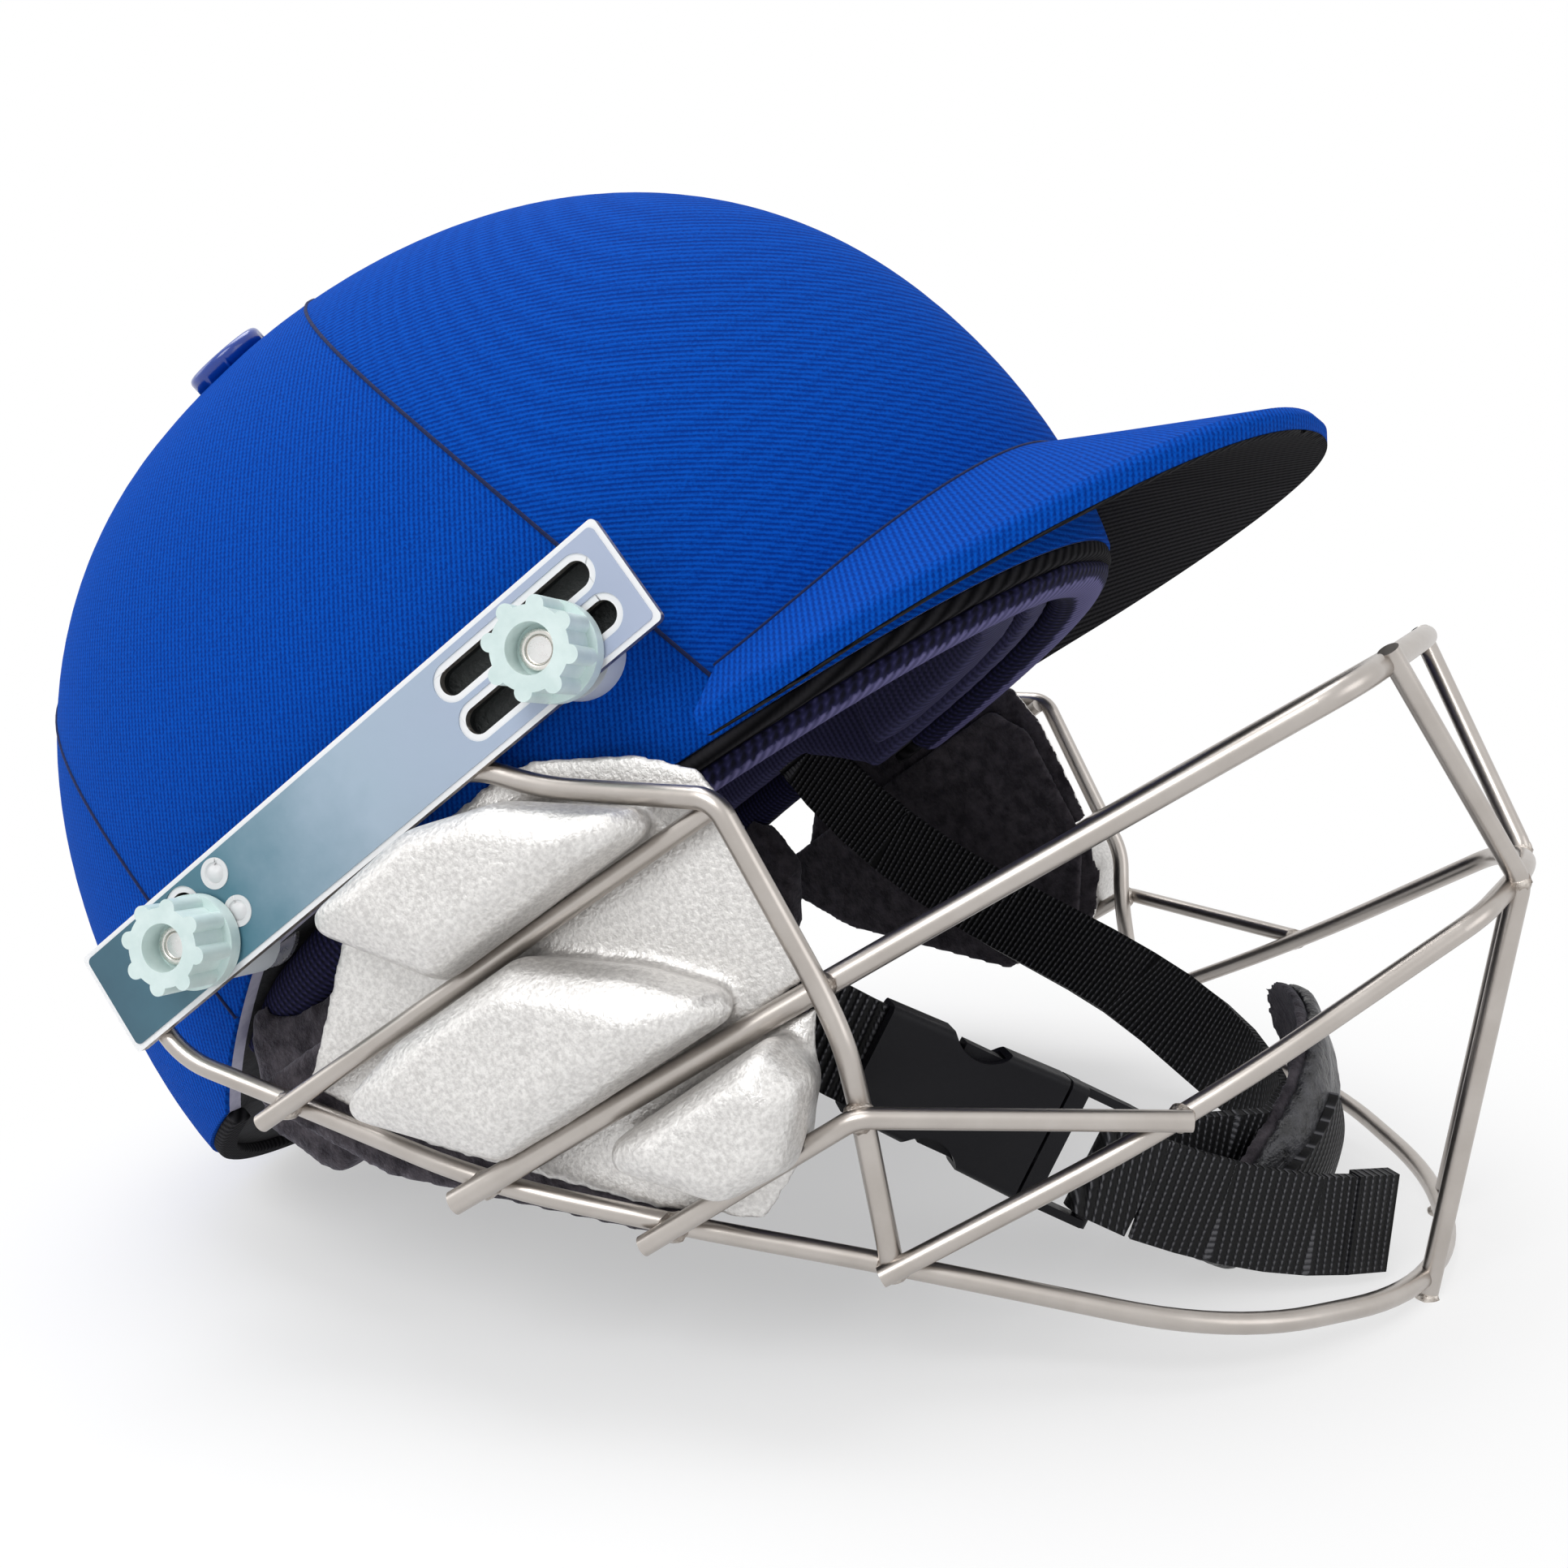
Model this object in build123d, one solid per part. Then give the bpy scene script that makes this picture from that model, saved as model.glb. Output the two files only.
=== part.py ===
from build123d import *
import os
from math import atan2, cos, degrees, hypot, radians, sin, sqrt, tan

# Cricket helmet: a fabric-covered shell with a peak, and a wire face guard on two side plates.
# Helmet frame: X forward, Y to the wearer's left, Z up, level with the shell's lower rim.
# Its origin lies midway between the two side plates. The last section lays the helmet down.

# Shell and covers
dome_centre_x = -41.0
dome_front_reach = 162.6
dome_rear_reach = 125.8
dome_half_width = 101.0
dome_height = 141.0
dome_power = 2.26
belt_level = -3.0
tuck_depth = 120.0
rim_level = -28.0
cover_thickness = 1.2
shell_thickness = 3.0
liner_thickness = 13.0
dome_level_shares = (0.24, 0.45, 0.63, 0.78, 0.89, 0.96, 0.991)
cutter_overrun = 30.0

# Seams between the cover panels, each an arc seen from the side
front_seam_foot = 65.0
front_seam_middle = (47.0, 38.0)
front_seam_top = (8.0, 125.0)
rear_seam_foot = -62.0
rear_seam_middle = (-80.0, 45.0)
rear_seam_top = (-122.0, 112.0)

# Ear notches in the shell's lower edge
notch_rear = -92.0
notch_front = 14.0
notch_height = 19.0
notch_slope_run = 44.0

# Peak
peak_hinge_x = 64.5
peak_reach = 102.0
peak_half_width = 94.5
peak_power = 2.4
peak_tip_level = -34.6
peak_corner_level = -26.6
crease_front_level = -6.0
crease_side_level = -17.0
crease_sink = 6.0
peak_thickness = 5.2
peak_cover_thickness = 1.0
peak_lip_round = 1.6
peak_seam_gap = 0.05
peak_angles = (-90, -68, -46, -23, 0, 23, 46, 68, 90)

# Crown eyelets
eyelet_x = -17.0
eyelet_y = 46.0
eyelet_hole_radius = 5.4
eyelet_barrel_radius = 7.0
eyelet_flange_radius = 10.4
eyelet_flange_height = 3.4
eyelet_seat_depth = 0.7
eyelet_edge_round = 1.4
eyelet_washer_radius = 9.6
eyelet_washer_thickness = 1.2

# Side plates, knobs and studs
plate_half_span = 105.0
plate_drop = 0.3
plate_yaw = 12.5
plate_pitch = 2.6
plate_length = 139.0
plate_width = 22.6
plate_corner_round = 1.2
outer_plate_thickness = 1.6
inner_plate_thickness = 1.5
label_thickness = 0.35
label_margin = 1.1
slot_width = 5.2
slot_rim = 1.3
front_slot_length = 36.0
front_slot_x = 45.5
slot_pitch = 8.8
rear_slot_x = -43.1
rear_slot_width = 6.0
rear_stud_x = -43.3
rear_slot_length = 16.0
rear_slot_rise = 0.5
front_stud_x = 50.0
rear_stud_rise = -2.1
stud_radius = 2.3
stud_flange_radius = 8.0
stud_flange_thickness = 1.2
stud_tip_recess = 3.2
running_gap = 0.55
spacer_radius = 8.4
rivet_x = -33.0
rivet_rises = (6.6, -2.2)
rivet_head_radius = 3.1
rivet_head_height = 0.55
rivet_shank_radius = 1.5
knob_radius = 8.4
knob_lobe_radius = 1.7
knob_lobe_count = 8
knob_height = 10.5
knob_skirt_height = 2.6
knob_bore_clearance = 0.3
knob_recess_radius = 4.6
knob_recess_depth = 4.6
knob_edge_round = 1.1

# Face guard wires: weld points on the wearer's right, in the helmet frame
thick_wire_radius = 2.25
wire_radius = 1.9
side_wire_radius = 2.1
upper_weld = (58.5, -92.0, -40.5)
top_weld = (55.0, -89.0, -76.5)
side_kink = (53.6, -91.0, -87.0)
low_weld = (48.0, -90.0, -98.5)
hoop_side_weld_x = 35.0
hoop_side_weld_y = -86.0
hoop_low_weld_x = 9.5
hoop_low_weld_y = -100.0
hoop_top_weld_x = -14.0
hoop_top_weld_y = -110.0
hoop_upper_weld_x = -46.5
hoop_upper_weld_y = -112.0
hoop_plane_level = -88.0
hoop_plane_fall = 1.03
hoop_shoulder = (72.0, -63.0)
hoop_corner = (90.0, -30.0)
hoop_front_x = 94.5
top_bar_level = -82.0
top_bar_corner = (148.2, -48.6)
top_bar_corner_bend = 14.0
top_bar_front_x = 157.5
middle_bar_level = -128.0
middle_weld = (87.0, -65.0)
middle_bar_corner = (140.2, -28.4)
middle_bar_front_x = 148.5
front_wire_top_half = 36.0
front_wire_middle_half = 16.0
front_wire_foot_half = 19.5
cut_end_stub = 6.0
foot_stub = 6.5
hoop_seat = (-64.5, -7.0)
hoop_seat_bend = (-62.0, -20.0)
hoop_seat_bend_sink = 3.4
side_wire_seat = (6.0, -3.0)
side_wire_seat_knee = (22.0, -8.5)
side_wire_knee = (33.0, -19.0)
side_wire_knee_sink = 2.6
weld_bite_share = 0.92
bend_settle_rounds = 6
run_use_share = 0.45

# Side pads in the face guard: outlines in the plane of the side plate
flange_back = -6.7
flange_front = -5.0
lobe_sink = -6.0
lobe_shoulder = 3.5
lobe_crest = 9.5
lobe_top = 13.5
lobe_section_shares = (0.92, 1.0, 0.9, 0.6)
lobe_corner_round = 3.2
flange_corner_round = 3.0
upper_lobe = ((-20.5, -15.0), (10.0, -12.6), (28.0, -18.5), (55.5, -38.4), (-0.5, -39.6))
middle_lobe = ((-34.0, -47.5), (-15.0, -43.2), (15.0, -43.0), (34.0, -57.0), (49.0, -73.0), (-8.0, -72.8))
lower_lobe = ((6.0, -79.4), (48.5, -78.6), (50.5, -88.5), (39.0, -99.5), (25.0, -98.5))
flange = (
    (-14.0, -13.5),
    (24.0, -11.5),
    (33.0, -13.0),
    (50.0, -23.0),
    (59.0, -32.5),
    (60.5, -45.0),
    (55.0, -78.0),
    (41.0, -98.0),
    (25.0, -105.5),
    (8.0, -94.0),
    (-26.0, -62.0),
    (-43.0, -39.0),
)
lining = (
    (-58.0, -32.5),
    (10.0, -32.5),
    (50.0, -34.0),
    (56.0, -45.0),
    (52.0, -78.0),
    (34.0, -99.0),
    (6.0, -99.0),
    (-38.0, -62.0),
)
lining_thickness = 2.2

# Padding inside the shell
band_thickness = 7.0
band_top_level = 26.0
band_drop = 2.0
roll_radial_half = 8.4
roll_drop = 6.8
roll_inset = 9.6
roll_end_angle = 62.0
side_roll_radius = 6.3
side_roll_levels = (-21.0, -15.6, -15.6)
side_roll_reach_shares = (0.78, 0.36, -0.04)
ear_pad = ((-60.0, -16.0), (-30.0, -16.0), (-28.0, -38.0), (-42.0, -54.0), (-60.0, -55.0), (-69.0, -38.0))
ear_pad_sink = 21.5
ear_pad_thickness = 8.0
ear_pad_corner_round = 4.0
crown_pad_length = 112.0
crown_pad_width = 74.0
crown_pad_thickness = 8.0
forehead_pad_thickness = 12.0
forehead_pad_top = 14.0
forehead_pad_half_angle = 40.0
nape_pad_half_angle = 38.0
nape_pad_low = -16.0
nape_pad_thickness = 9.0
nape_pad_top_level = 8.0

# Chin strap: webbing stations, and the buckle between them
web_width = 20.0
web_thickness = 1.7
web_steps_per_run = 2
right_strap_stations = (
    ((-6.0, -77.0, 4.0), (1.0, 0.0, 0.0)),
    ((-5.0, -77.0, -14.0), (1.0, 0.0, 0.0)),
    ((3.0, -76.0, -40.0), (0.9, 0.4, 0.2)),
    ((30.0, -71.5, -70.0), (0.8, 0.5, 0.4)),
)
left_strap_stations = (
    ((-6.0, 77.0, 4.0), (1.0, 0.0, 0.0)),
    ((-5.0, 77.0, -14.0), (1.0, 0.0, -0.2)),
    ((25.0, 66.0, -84.0), (0.93, 0.0, -0.36)),
    ((52.0, 46.0, -116.0), (0.9, 0.0, -0.3)),
    ((66.0, 28.0, -134.0), (0.85, -0.1, 0.1)),
    ((76.0, 10.0, -146.0), (0.7, -0.35, 0.45)),
    ((80.6, -5.6, -151.0), (0.543, -0.525, 0.657)),
    ((74.0, -23.0, -146.5), (0.62, -0.3, 0.62)),
    ((66.0, -33.0, -141.5), (0.72, 0.1, 0.55)),
)
tail_stations = (
    ((72.0, -36.5, -152.0), (0.65, 0.1, 0.75)),
    ((82.0, -26.0, -164.5), (0.602, 0.0, 0.799)),
    ((91.0, -14.0, -173.0), (0.602, 0.0, 0.799)),
)
tail_fold_length = 9.0
buckle_centre = (49.75, -61.0, -105.85)
buckle_axis = (0.314, 0.492, -0.811)
buckle_face = (0.45, -0.85, -0.2)
buckle_length = 37.0
buckle_width = 25.0
buckle_nose_width = 22.0
buckle_thickness = 8.4
buckle_wall = 1.6
buckle_slant = 3.0
buckle_scoop_radius = 7.0
buckle_scoop_depth = 4.2
buckle_web_room = 9.0
prong_width = 5.0
prong_length = 21.0
prong_gap = 0.5
male_shoulder_length = 3.6
male_shoulder_gap = 0.6
ladder_bar_radius = 1.7
ladder_bar_reach = 15.0
ladder_rail_width = 1.6
ladder_rail_height = 4.2
loop_play = 0.4
loop_leg_length = 8.0
cup_middle = (73.0, 2.0, -147.0)
cup_length_axis = (0.38, 0.85, 0.366)
cup_face = (0.75, -0.05, -0.66)
cup_length = 70.0
cup_height = 40.0
cup_radius = 47.0
cup_depth = 18.0
cup_thickness = 2.6
cup_lining_thickness = 2.0
cup_strap_start_angle = 3.0
cup_strap_turn = 30.0
cup_strap_shift = 2.0
elastic_radius = 2.4
elastic_level = -19.0
elastic_start_angle = 97.0
binding_drop = 3.0
binding_inset = 0.6
binding_width = 4.6
floor_trim = 0.5


def right_point(x, half, z):
    return Vector(x, -half, z)


def dome_share(level, inset):
    """How much of its belt width the dome still has at a level."""
    rise = level - belt_level
    if rise < 0:
        return sqrt(1 - (rise / tuck_depth) ** 2)
    reach = min(rise / (dome_height - inset), 1)
    return (1 - reach ** dome_power) ** (1 / dome_power)


def dome_section(level, inset):
    share = dome_share(level, inset)
    front = (dome_front_reach - inset) * share
    rear = (dome_rear_reach - inset) * share
    half = (dome_half_width - inset) * share
    centre = (dome_centre_x, 0, level)
    ahead = EllipticalCenterArc(centre, front, half, start_angle=-90, arc_size=180)
    behind = EllipticalCenterArc(centre, rear, half, start_angle=90, arc_size=180)
    return make_face(Wire([ahead.edge(), behind.edge()]))


def dome_block(inset):
    """The solid under the dome's skin, moved inwards, down to the foot of the rim binding."""
    levels = [rim_level - binding_drop, belt_level]
    for share in dome_level_shares:
        levels.append(belt_level + (dome_height - inset) * share)
    sections = [dome_section(level, inset) for level in levels]
    apex = Vertex(dome_centre_x, 0, belt_level + dome_height - inset)
    return loft(sections + [apex])


def dome_half_at(x, level, inset=0):
    """Half width of the dome at a place along the helmet."""
    share = dome_share(level, inset)
    reach = (dome_front_reach if x > dome_centre_x else dome_rear_reach) - inset
    along = (x - dome_centre_x) / (reach * share)
    return (dome_half_width - inset) * share * sqrt(max(0, 1 - along ** 2))


def outside_dome(point, inset):
    """Positive outside the dome's skin, negative inside it."""
    share = dome_share(point.Z, inset)
    reach = (dome_front_reach if point.X > dome_centre_x else dome_rear_reach) - inset
    across = point.Y / ((dome_half_width - inset) * share)
    along = (point.X - dome_centre_x) / (reach * share)
    return along ** 2 + across ** 2 - 1


def depth_to_dome(start, direction, inset):
    """Distance from a point outside to the dome's skin along a direction."""
    near = 0
    far = dome_half_width
    for step in range(40):
        middle = (near + far) / 2
        if outside_dome(start + direction * middle, inset) > 0:
            near = middle
        else:
            far = middle
    return near


def side_block(points, half_width):
    """A prism across the helmet over an outline in the side view."""
    outline = Polyline(*[(x, 0, z) for x, z in points], close=True)
    return extrude(make_face(outline), amount=half_width, dir=(0, 1, 0), both=True)


def seam_block(foot, middle, top, edge_x):
    """The space on one side of a curved seam, cut right across the helmet."""
    half = dome_half_width + cutter_overrun
    low = rim_level - cutter_overrun
    high = belt_level + dome_height + cutter_overrun
    curve = ThreePointArc((foot, 0, rim_level), (middle[0], 0, middle[1]), (top[0], 0, top[1]))
    lead_in = Line((foot, 0, low), curve @ 0)
    lead_out = Line(curve @ 1, (2 * top[0] - middle[0], 0, high))
    back = Polyline(lead_out @ 1, (edge_x, 0, high), (edge_x, 0, low), (foot, 0, low))
    face = make_face(Wire([lead_in.edge(), curve.edge(), lead_out.edge()] + list(back.edges())))
    return extrude(face, amount=half, dir=(0, 1, 0), both=True)


def ear_notch(inset):
    """The cut above both ears, through the shell, the covers and the liner."""
    low = rim_level - cutter_overrun
    high = rim_level + notch_height - inset
    points = (
        (notch_rear, low),
        (notch_rear, rim_level),
        (notch_rear + notch_slope_run, high),
        (notch_front - notch_height, high),
        (notch_front, rim_level),
        (notch_front, low),
    )
    return side_block(points, dome_half_width + cutter_overrun)


# Peak

def peak_edge(angle):
    """A point on the peak's outer edge, by its angle from straight ahead."""
    along = abs(cos(radians(angle))) ** (2 / peak_power)
    across = abs(sin(radians(angle))) ** (2 / peak_power)
    side = 1 if angle > 0 else -1
    level = peak_corner_level + (peak_tip_level - peak_corner_level) * along
    return Vector(peak_hinge_x + peak_reach * along, side * peak_half_width * across, level)


def peak_root(edge):
    """Where the straight line from the peak's hinge to an edge point leaves the dome."""
    ray = Vector(edge.X - peak_hinge_x, edge.Y, 0)
    ray = ray / ray.length
    lift = max(0, ray.X)
    level = crease_side_level + (crease_front_level - crease_side_level) * lift
    share = dome_share(level, 0)
    front = dome_front_reach * share
    half = dome_half_width * share
    offset = (peak_hinge_x - dome_centre_x) / front
    a = (ray.X / front) ** 2 + (ray.Y / half) ** 2
    b = 2 * offset * ray.X / front
    c = offset ** 2 - 1
    reach = (-b + sqrt(b * b - 4 * a * c)) / (2 * a)
    return Vector(peak_hinge_x + reach * ray.X, reach * ray.Y, level), ray


def peak_section(angle, outline):
    """One radial section; its outline runs from the root outwards and from the top down."""
    edge = peak_edge(angle)
    root, ray = peak_root(edge)
    slope = edge - root
    width = slope.length
    along = slope / width
    normal = ray.cross(Vector(0, 0, 1)).normalized()
    down = along.cross(normal).normalized()
    if down.Z > 0:
        down = down * -1
    points = []
    for base, out, depth in outline:
        start = root if base == "root" else edge
        points.append(start + along * out + down * depth)
    return make_face(Polyline(*points, close=True))


def peak_layer(outline):
    return loft([peak_section(angle, outline) for angle in peak_angles])


def peak_top():
    """The cover over the peak, rolled over its outer edge."""
    skin = peak_cover_thickness
    outline = (
        ("root", -crease_sink, 0),
        ("edge", -peak_lip_round, 0),
        ("edge", 0, peak_lip_round),
        ("edge", 0, peak_thickness - skin),
        ("edge", -skin, peak_thickness - skin),
        ("edge", -skin, skin + peak_lip_round),
        ("edge", -skin - peak_lip_round, skin),
        ("root", -crease_sink, skin),
    )
    return peak_layer(outline)


def peak_board():
    """The stiff board between the two covers of the peak."""
    skin = peak_cover_thickness + peak_seam_gap
    outline = (
        ("root", -crease_sink, skin),
        ("edge", -skin - peak_lip_round, skin),
        ("edge", -skin, skin + peak_lip_round),
        ("edge", -skin, peak_thickness - skin),
        ("root", -crease_sink, peak_thickness - skin),
    )
    return peak_layer(outline)


def peak_under():
    skin = peak_cover_thickness - peak_seam_gap
    outline = (
        ("root", -crease_sink, peak_thickness - skin),
        ("edge", 0, peak_thickness - skin),
        ("edge", -peak_lip_round, peak_thickness),
        ("root", -crease_sink, peak_thickness),
    )
    return peak_layer(outline)


# Side plates

def side_place():
    """The level frame of the right side: x forward, y up, z outwards."""
    yaw = radians(plate_yaw)
    return Plane(
        origin=(0, -plate_half_span, 0),
        x_dir=(cos(yaw), sin(yaw), 0),
        z_dir=(sin(yaw), -cos(yaw), 0),
    )


def plate_place():
    """The frame of the right side plate, tipped a little from the level frame."""
    return side_place() * Location((0, -plate_drop, 0), (0, 0, plate_pitch))


def on_side(x, y, z):
    return side_place().from_local_coords(Vector(x, y, z))


def on_plate(x, y, z):
    return (plate_place() * Pos(x, y, z)).position


side_out = side_place().z_dir
front_slot_rises = (slot_pitch / 2 + rear_slot_rise, -slot_pitch / 2 + rear_slot_rise)
front_stud_rise = front_slot_rises[1]
stud_places = ((front_stud_x, front_stud_rise), (rear_stud_x, rear_stud_rise))
plate_back = -outer_plate_thickness - inner_plate_thickness


def slot_shapes(margin):
    """The two lengthwise slots at the front and the upright slot at the rear."""
    shapes = []
    for rise in front_slot_rises:
        long_slot = SlotOverall(front_slot_length + 2 * margin, slot_width + 2 * margin)
        shapes.append(Pos(front_slot_x, rise, 0) * long_slot)
    upright = Rot(0, 0, 90) * SlotOverall(rear_slot_length + 2 * margin, rear_slot_width + 2 * margin)
    shapes.append(Pos(rear_slot_x, rear_slot_rise, 0) * upright)
    return shapes


def plate_blank(length, width):
    return RectangleRounded(length, width, plate_corner_round)


def outer_plate():
    face = plate_blank(plate_length, plate_width)
    for shape in slot_shapes(0):
        face -= shape
    for rise in rivet_rises:
        face -= Pos(rivet_x, rise, 0) * Circle(rivet_shank_radius)
    return extrude(face, amount=-outer_plate_thickness)


def inner_plate():
    face = plate_blank(plate_length - 2 * label_margin, plate_width - label_margin)
    for shape in slot_shapes(0):
        face -= shape
    for rise in rivet_rises:
        face -= Pos(rivet_x, rise, 0) * Circle(rivet_shank_radius)
    return Pos(0, 0, plate_back) * extrude(face, amount=inner_plate_thickness)


def label_panel():
    face = plate_blank(plate_length - 2 * label_margin, plate_width - 2 * label_margin)
    for shape in slot_shapes(slot_rim):
        face -= shape
    for rise in rivet_rises:
        face -= Pos(rivet_x, rise, 0) * Circle(rivet_head_radius)
    return extrude(face, amount=label_thickness)


def rivets():
    pins = []
    for rise in rivet_rises:
        head = Cylinder(rivet_head_radius, rivet_head_height, align=(Align.CENTER, Align.CENTER, Align.MIN))
        shank_length = outer_plate_thickness + inner_plate_thickness
        shank = Cylinder(rivet_shank_radius, shank_length, align=(Align.CENTER, Align.CENTER, Align.MAX))
        pins.append(Pos(rivet_x, rise, 0) * (head + shank))
    return pins


def stud_depth(x, rise, inset):
    """How far behind the plate's face the dome's skin lies at a stud."""
    return depth_to_dome(on_plate(x, rise, 0), side_out * -1, inset)


def stud(x, rise):
    inner = stud_depth(x, rise, cover_thickness + shell_thickness)
    tip = knob_height - stud_tip_recess
    shank = Pos(x, rise, -inner) * Cylinder(
        stud_radius, inner + tip, align=(Align.CENTER, Align.CENTER, Align.MIN)
    )
    seat = Pos(x, rise, -inner) * Cylinder(
        stud_flange_radius, stud_flange_thickness, align=(Align.CENTER, Align.CENTER, Align.MAX)
    )
    return shank + seat


def spacer(x, rise):
    outer = stud_depth(x, rise, 0)
    front = -plate_back + running_gap
    ring = Circle(spacer_radius) - Circle(stud_radius)
    sleeve = Pos(x, rise, -outer - shell_thickness) * extrude(ring, amount=outer + shell_thickness - front)
    return sleeve


def knob():
    """A lobed hand nut, made standing on its skirt at the origin."""
    face = Circle(knob_radius - knob_lobe_radius / 2)
    face += PolarLocations(knob_radius - knob_lobe_radius / 2, knob_lobe_count) * Circle(knob_lobe_radius)
    body = extrude(face, amount=knob_height)
    skirt = Cylinder(
        knob_radius + knob_lobe_radius / 2, knob_skirt_height, align=(Align.CENTER, Align.CENTER, Align.MIN)
    )
    body += skirt
    bore = Cylinder(stud_radius + knob_bore_clearance, knob_height, align=(Align.CENTER, Align.CENTER, Align.MIN))
    recess = Pos(0, 0, knob_height - knob_recess_depth) * Cylinder(
        knob_recess_radius, knob_recess_depth, align=(Align.CENTER, Align.CENTER, Align.MIN)
    )
    return body - bore - recess


# Face guard

def bend_radii(points, tight=None):
    """The largest arcs that the runs allow, or a tighter one where it is given."""
    tight = tight or {}
    radii = []
    for index in range(1, len(points) - 1):
        before = points[index] - points[index - 1]
        after = points[index + 1] - points[index]
        turn = radians(before.get_angle(after))
        largest = run_use_share * min(before.length, after.length) / tan(turn / 2)
        radii.append(min(largest, tight.get(index, largest)))
    return radii


def wire_corners(points, tight):
    """Corners moved outwards until the middle of each bend lies on the point asked for."""
    corners = list(points)
    for round_number in range(bend_settle_rounds):
        radii = bend_radii(corners, tight)
        settled = list(points)
        for index in range(1, len(points) - 1):
            before = (corners[index] - corners[index - 1]).normalized()
            after = (corners[index + 1] - corners[index]).normalized()
            turn = radians(before.get_angle(after))
            sag = radii[index - 1] / cos(turn / 2) - radii[index - 1]
            settled[index] = points[index] - (after - before).normalized() * sag
        corners = settled
    return corners


def bent_wire(points, radius, tight=None):
    """A wire whose bends pass through the points given."""
    corners = wire_corners(points, tight)
    path = FilletPolyline(*corners, radius=bend_radii(corners, tight))
    start = Plane(origin=path @ 0, z_dir=path % 0)
    return sweep(start * Circle(radius), path=path)


def hoop_point(x, y):
    return Vector(x, y, hoop_plane_level - hoop_plane_fall * x)


def mirrored(points):
    return [Vector(point.X, -point.Y, point.Z) for point in reversed(points)]


def step(point, direction, length):
    return point + direction * length


def stub_past(inner, outer, length):
    """A point past a weld, for the short cut end that each bar has there."""
    run = outer - inner
    return outer + run / run.length * length


upper = Vector(*upper_weld)
top = Vector(*top_weld)
kink = Vector(*side_kink)
low = Vector(*low_weld)
hoop_side = hoop_point(hoop_side_weld_x, hoop_side_weld_y)
hoop_low = hoop_point(hoop_low_weld_x, hoop_low_weld_y)
hoop_top = hoop_point(hoop_top_weld_x, hoop_top_weld_y)
hoop_upper = hoop_point(hoop_upper_weld_x, hoop_upper_weld_y)
middle = Vector(middle_weld[0], middle_weld[1], middle_bar_level)
forward = Vector(1, 0, 0)


def lower_hoop():
    r = wire_radius
    bite = r * weld_bite_share
    half = [
        on_side(hoop_seat[0], hoop_seat[1], -outer_plate_thickness - bite),
        on_side(hoop_seat_bend[0], hoop_seat_bend[1], -hoop_seat_bend_sink),
        step(hoop_upper, side_out, -bite),
        step(hoop_top, side_out, -bite),
        step(hoop_low, side_out, -bite),
        step(hoop_side, side_out, -bite),
        hoop_point(*hoop_shoulder),
        hoop_point(*hoop_corner),
        hoop_point(hoop_front_x, 0),
    ]
    return bent_wire(half + mirrored(half[:-1]), r)


def top_bar():
    r = thick_wire_radius
    bite = r * weld_bite_share
    rear = step(hoop_top, side_out, bite)
    side = step(top, side_out, -bite)
    corner = Vector(top_bar_corner[0], top_bar_corner[1], top_bar_level)
    front = Vector(top_bar_front_x, 0, top_bar_level)
    half = [stub_past(side, rear, cut_end_stub), side, corner, front]
    whole = half + mirrored(half[:-1])
    return bent_wire(whole, r, {2: top_bar_corner_bend, 4: top_bar_corner_bend})


def middle_bar():
    r = wire_radius
    bite = r * weld_bite_share
    side = step(hoop_side, side_out, bite)
    inside = step(middle, side_out, -bite)
    corner = Vector(middle_bar_corner[0], middle_bar_corner[1], middle_bar_level)
    front = Vector(middle_bar_front_x, 0, middle_bar_level)
    half = [stub_past(inside, side, wire_radius), inside, corner, front]
    whole = half + mirrored(half[:-1])
    return bent_wire(whole, r, {2: top_bar_corner_bend, 4: top_bar_corner_bend})


def side_upright():
    r = side_wire_radius
    bite = r * weld_bite_share
    points = [
        on_side(side_wire_seat[0], side_wire_seat[1], -outer_plate_thickness - bite),
        on_side(side_wire_seat_knee[0], side_wire_seat_knee[1], -outer_plate_thickness - bite),
        on_side(side_wire_knee[0], side_wire_knee[1], -side_wire_knee_sink),
        step(upper, side_out, bite),
        step(top, side_out, bite),
        kink,
        step(low, side_out, -bite),
        hoop_side,
    ]
    tight = {3: 3 * r}
    return bent_wire(points, r, tight)


def upper_cheek_bar():
    bite = wire_radius * weld_bite_share
    front = step(upper, side_out, -bite)
    rear = step(hoop_upper, side_out, bite)
    path = Line(front, stub_past(front, rear, cut_end_stub))
    return sweep(Plane(origin=path @ 0, z_dir=path % 0) * Circle(wire_radius), path=path.edge())


def lower_cheek_bar():
    bite = wire_radius * weld_bite_share
    rear = step(hoop_low, side_out, bite)
    knee = step(low, side_out, bite)
    end = step(middle, side_out, bite)
    points = [stub_past(knee, rear, cut_end_stub), knee, stub_past(knee, end, wire_radius)]
    return bent_wire(points, wire_radius, {1: 4 * wire_radius})


def bar_face(corner, front_x, half):
    """How far forward a bar's centre line lies between its corner and its middle."""
    share = half / -corner[1]
    return front_x + (corner[0] - front_x) * share


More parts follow.
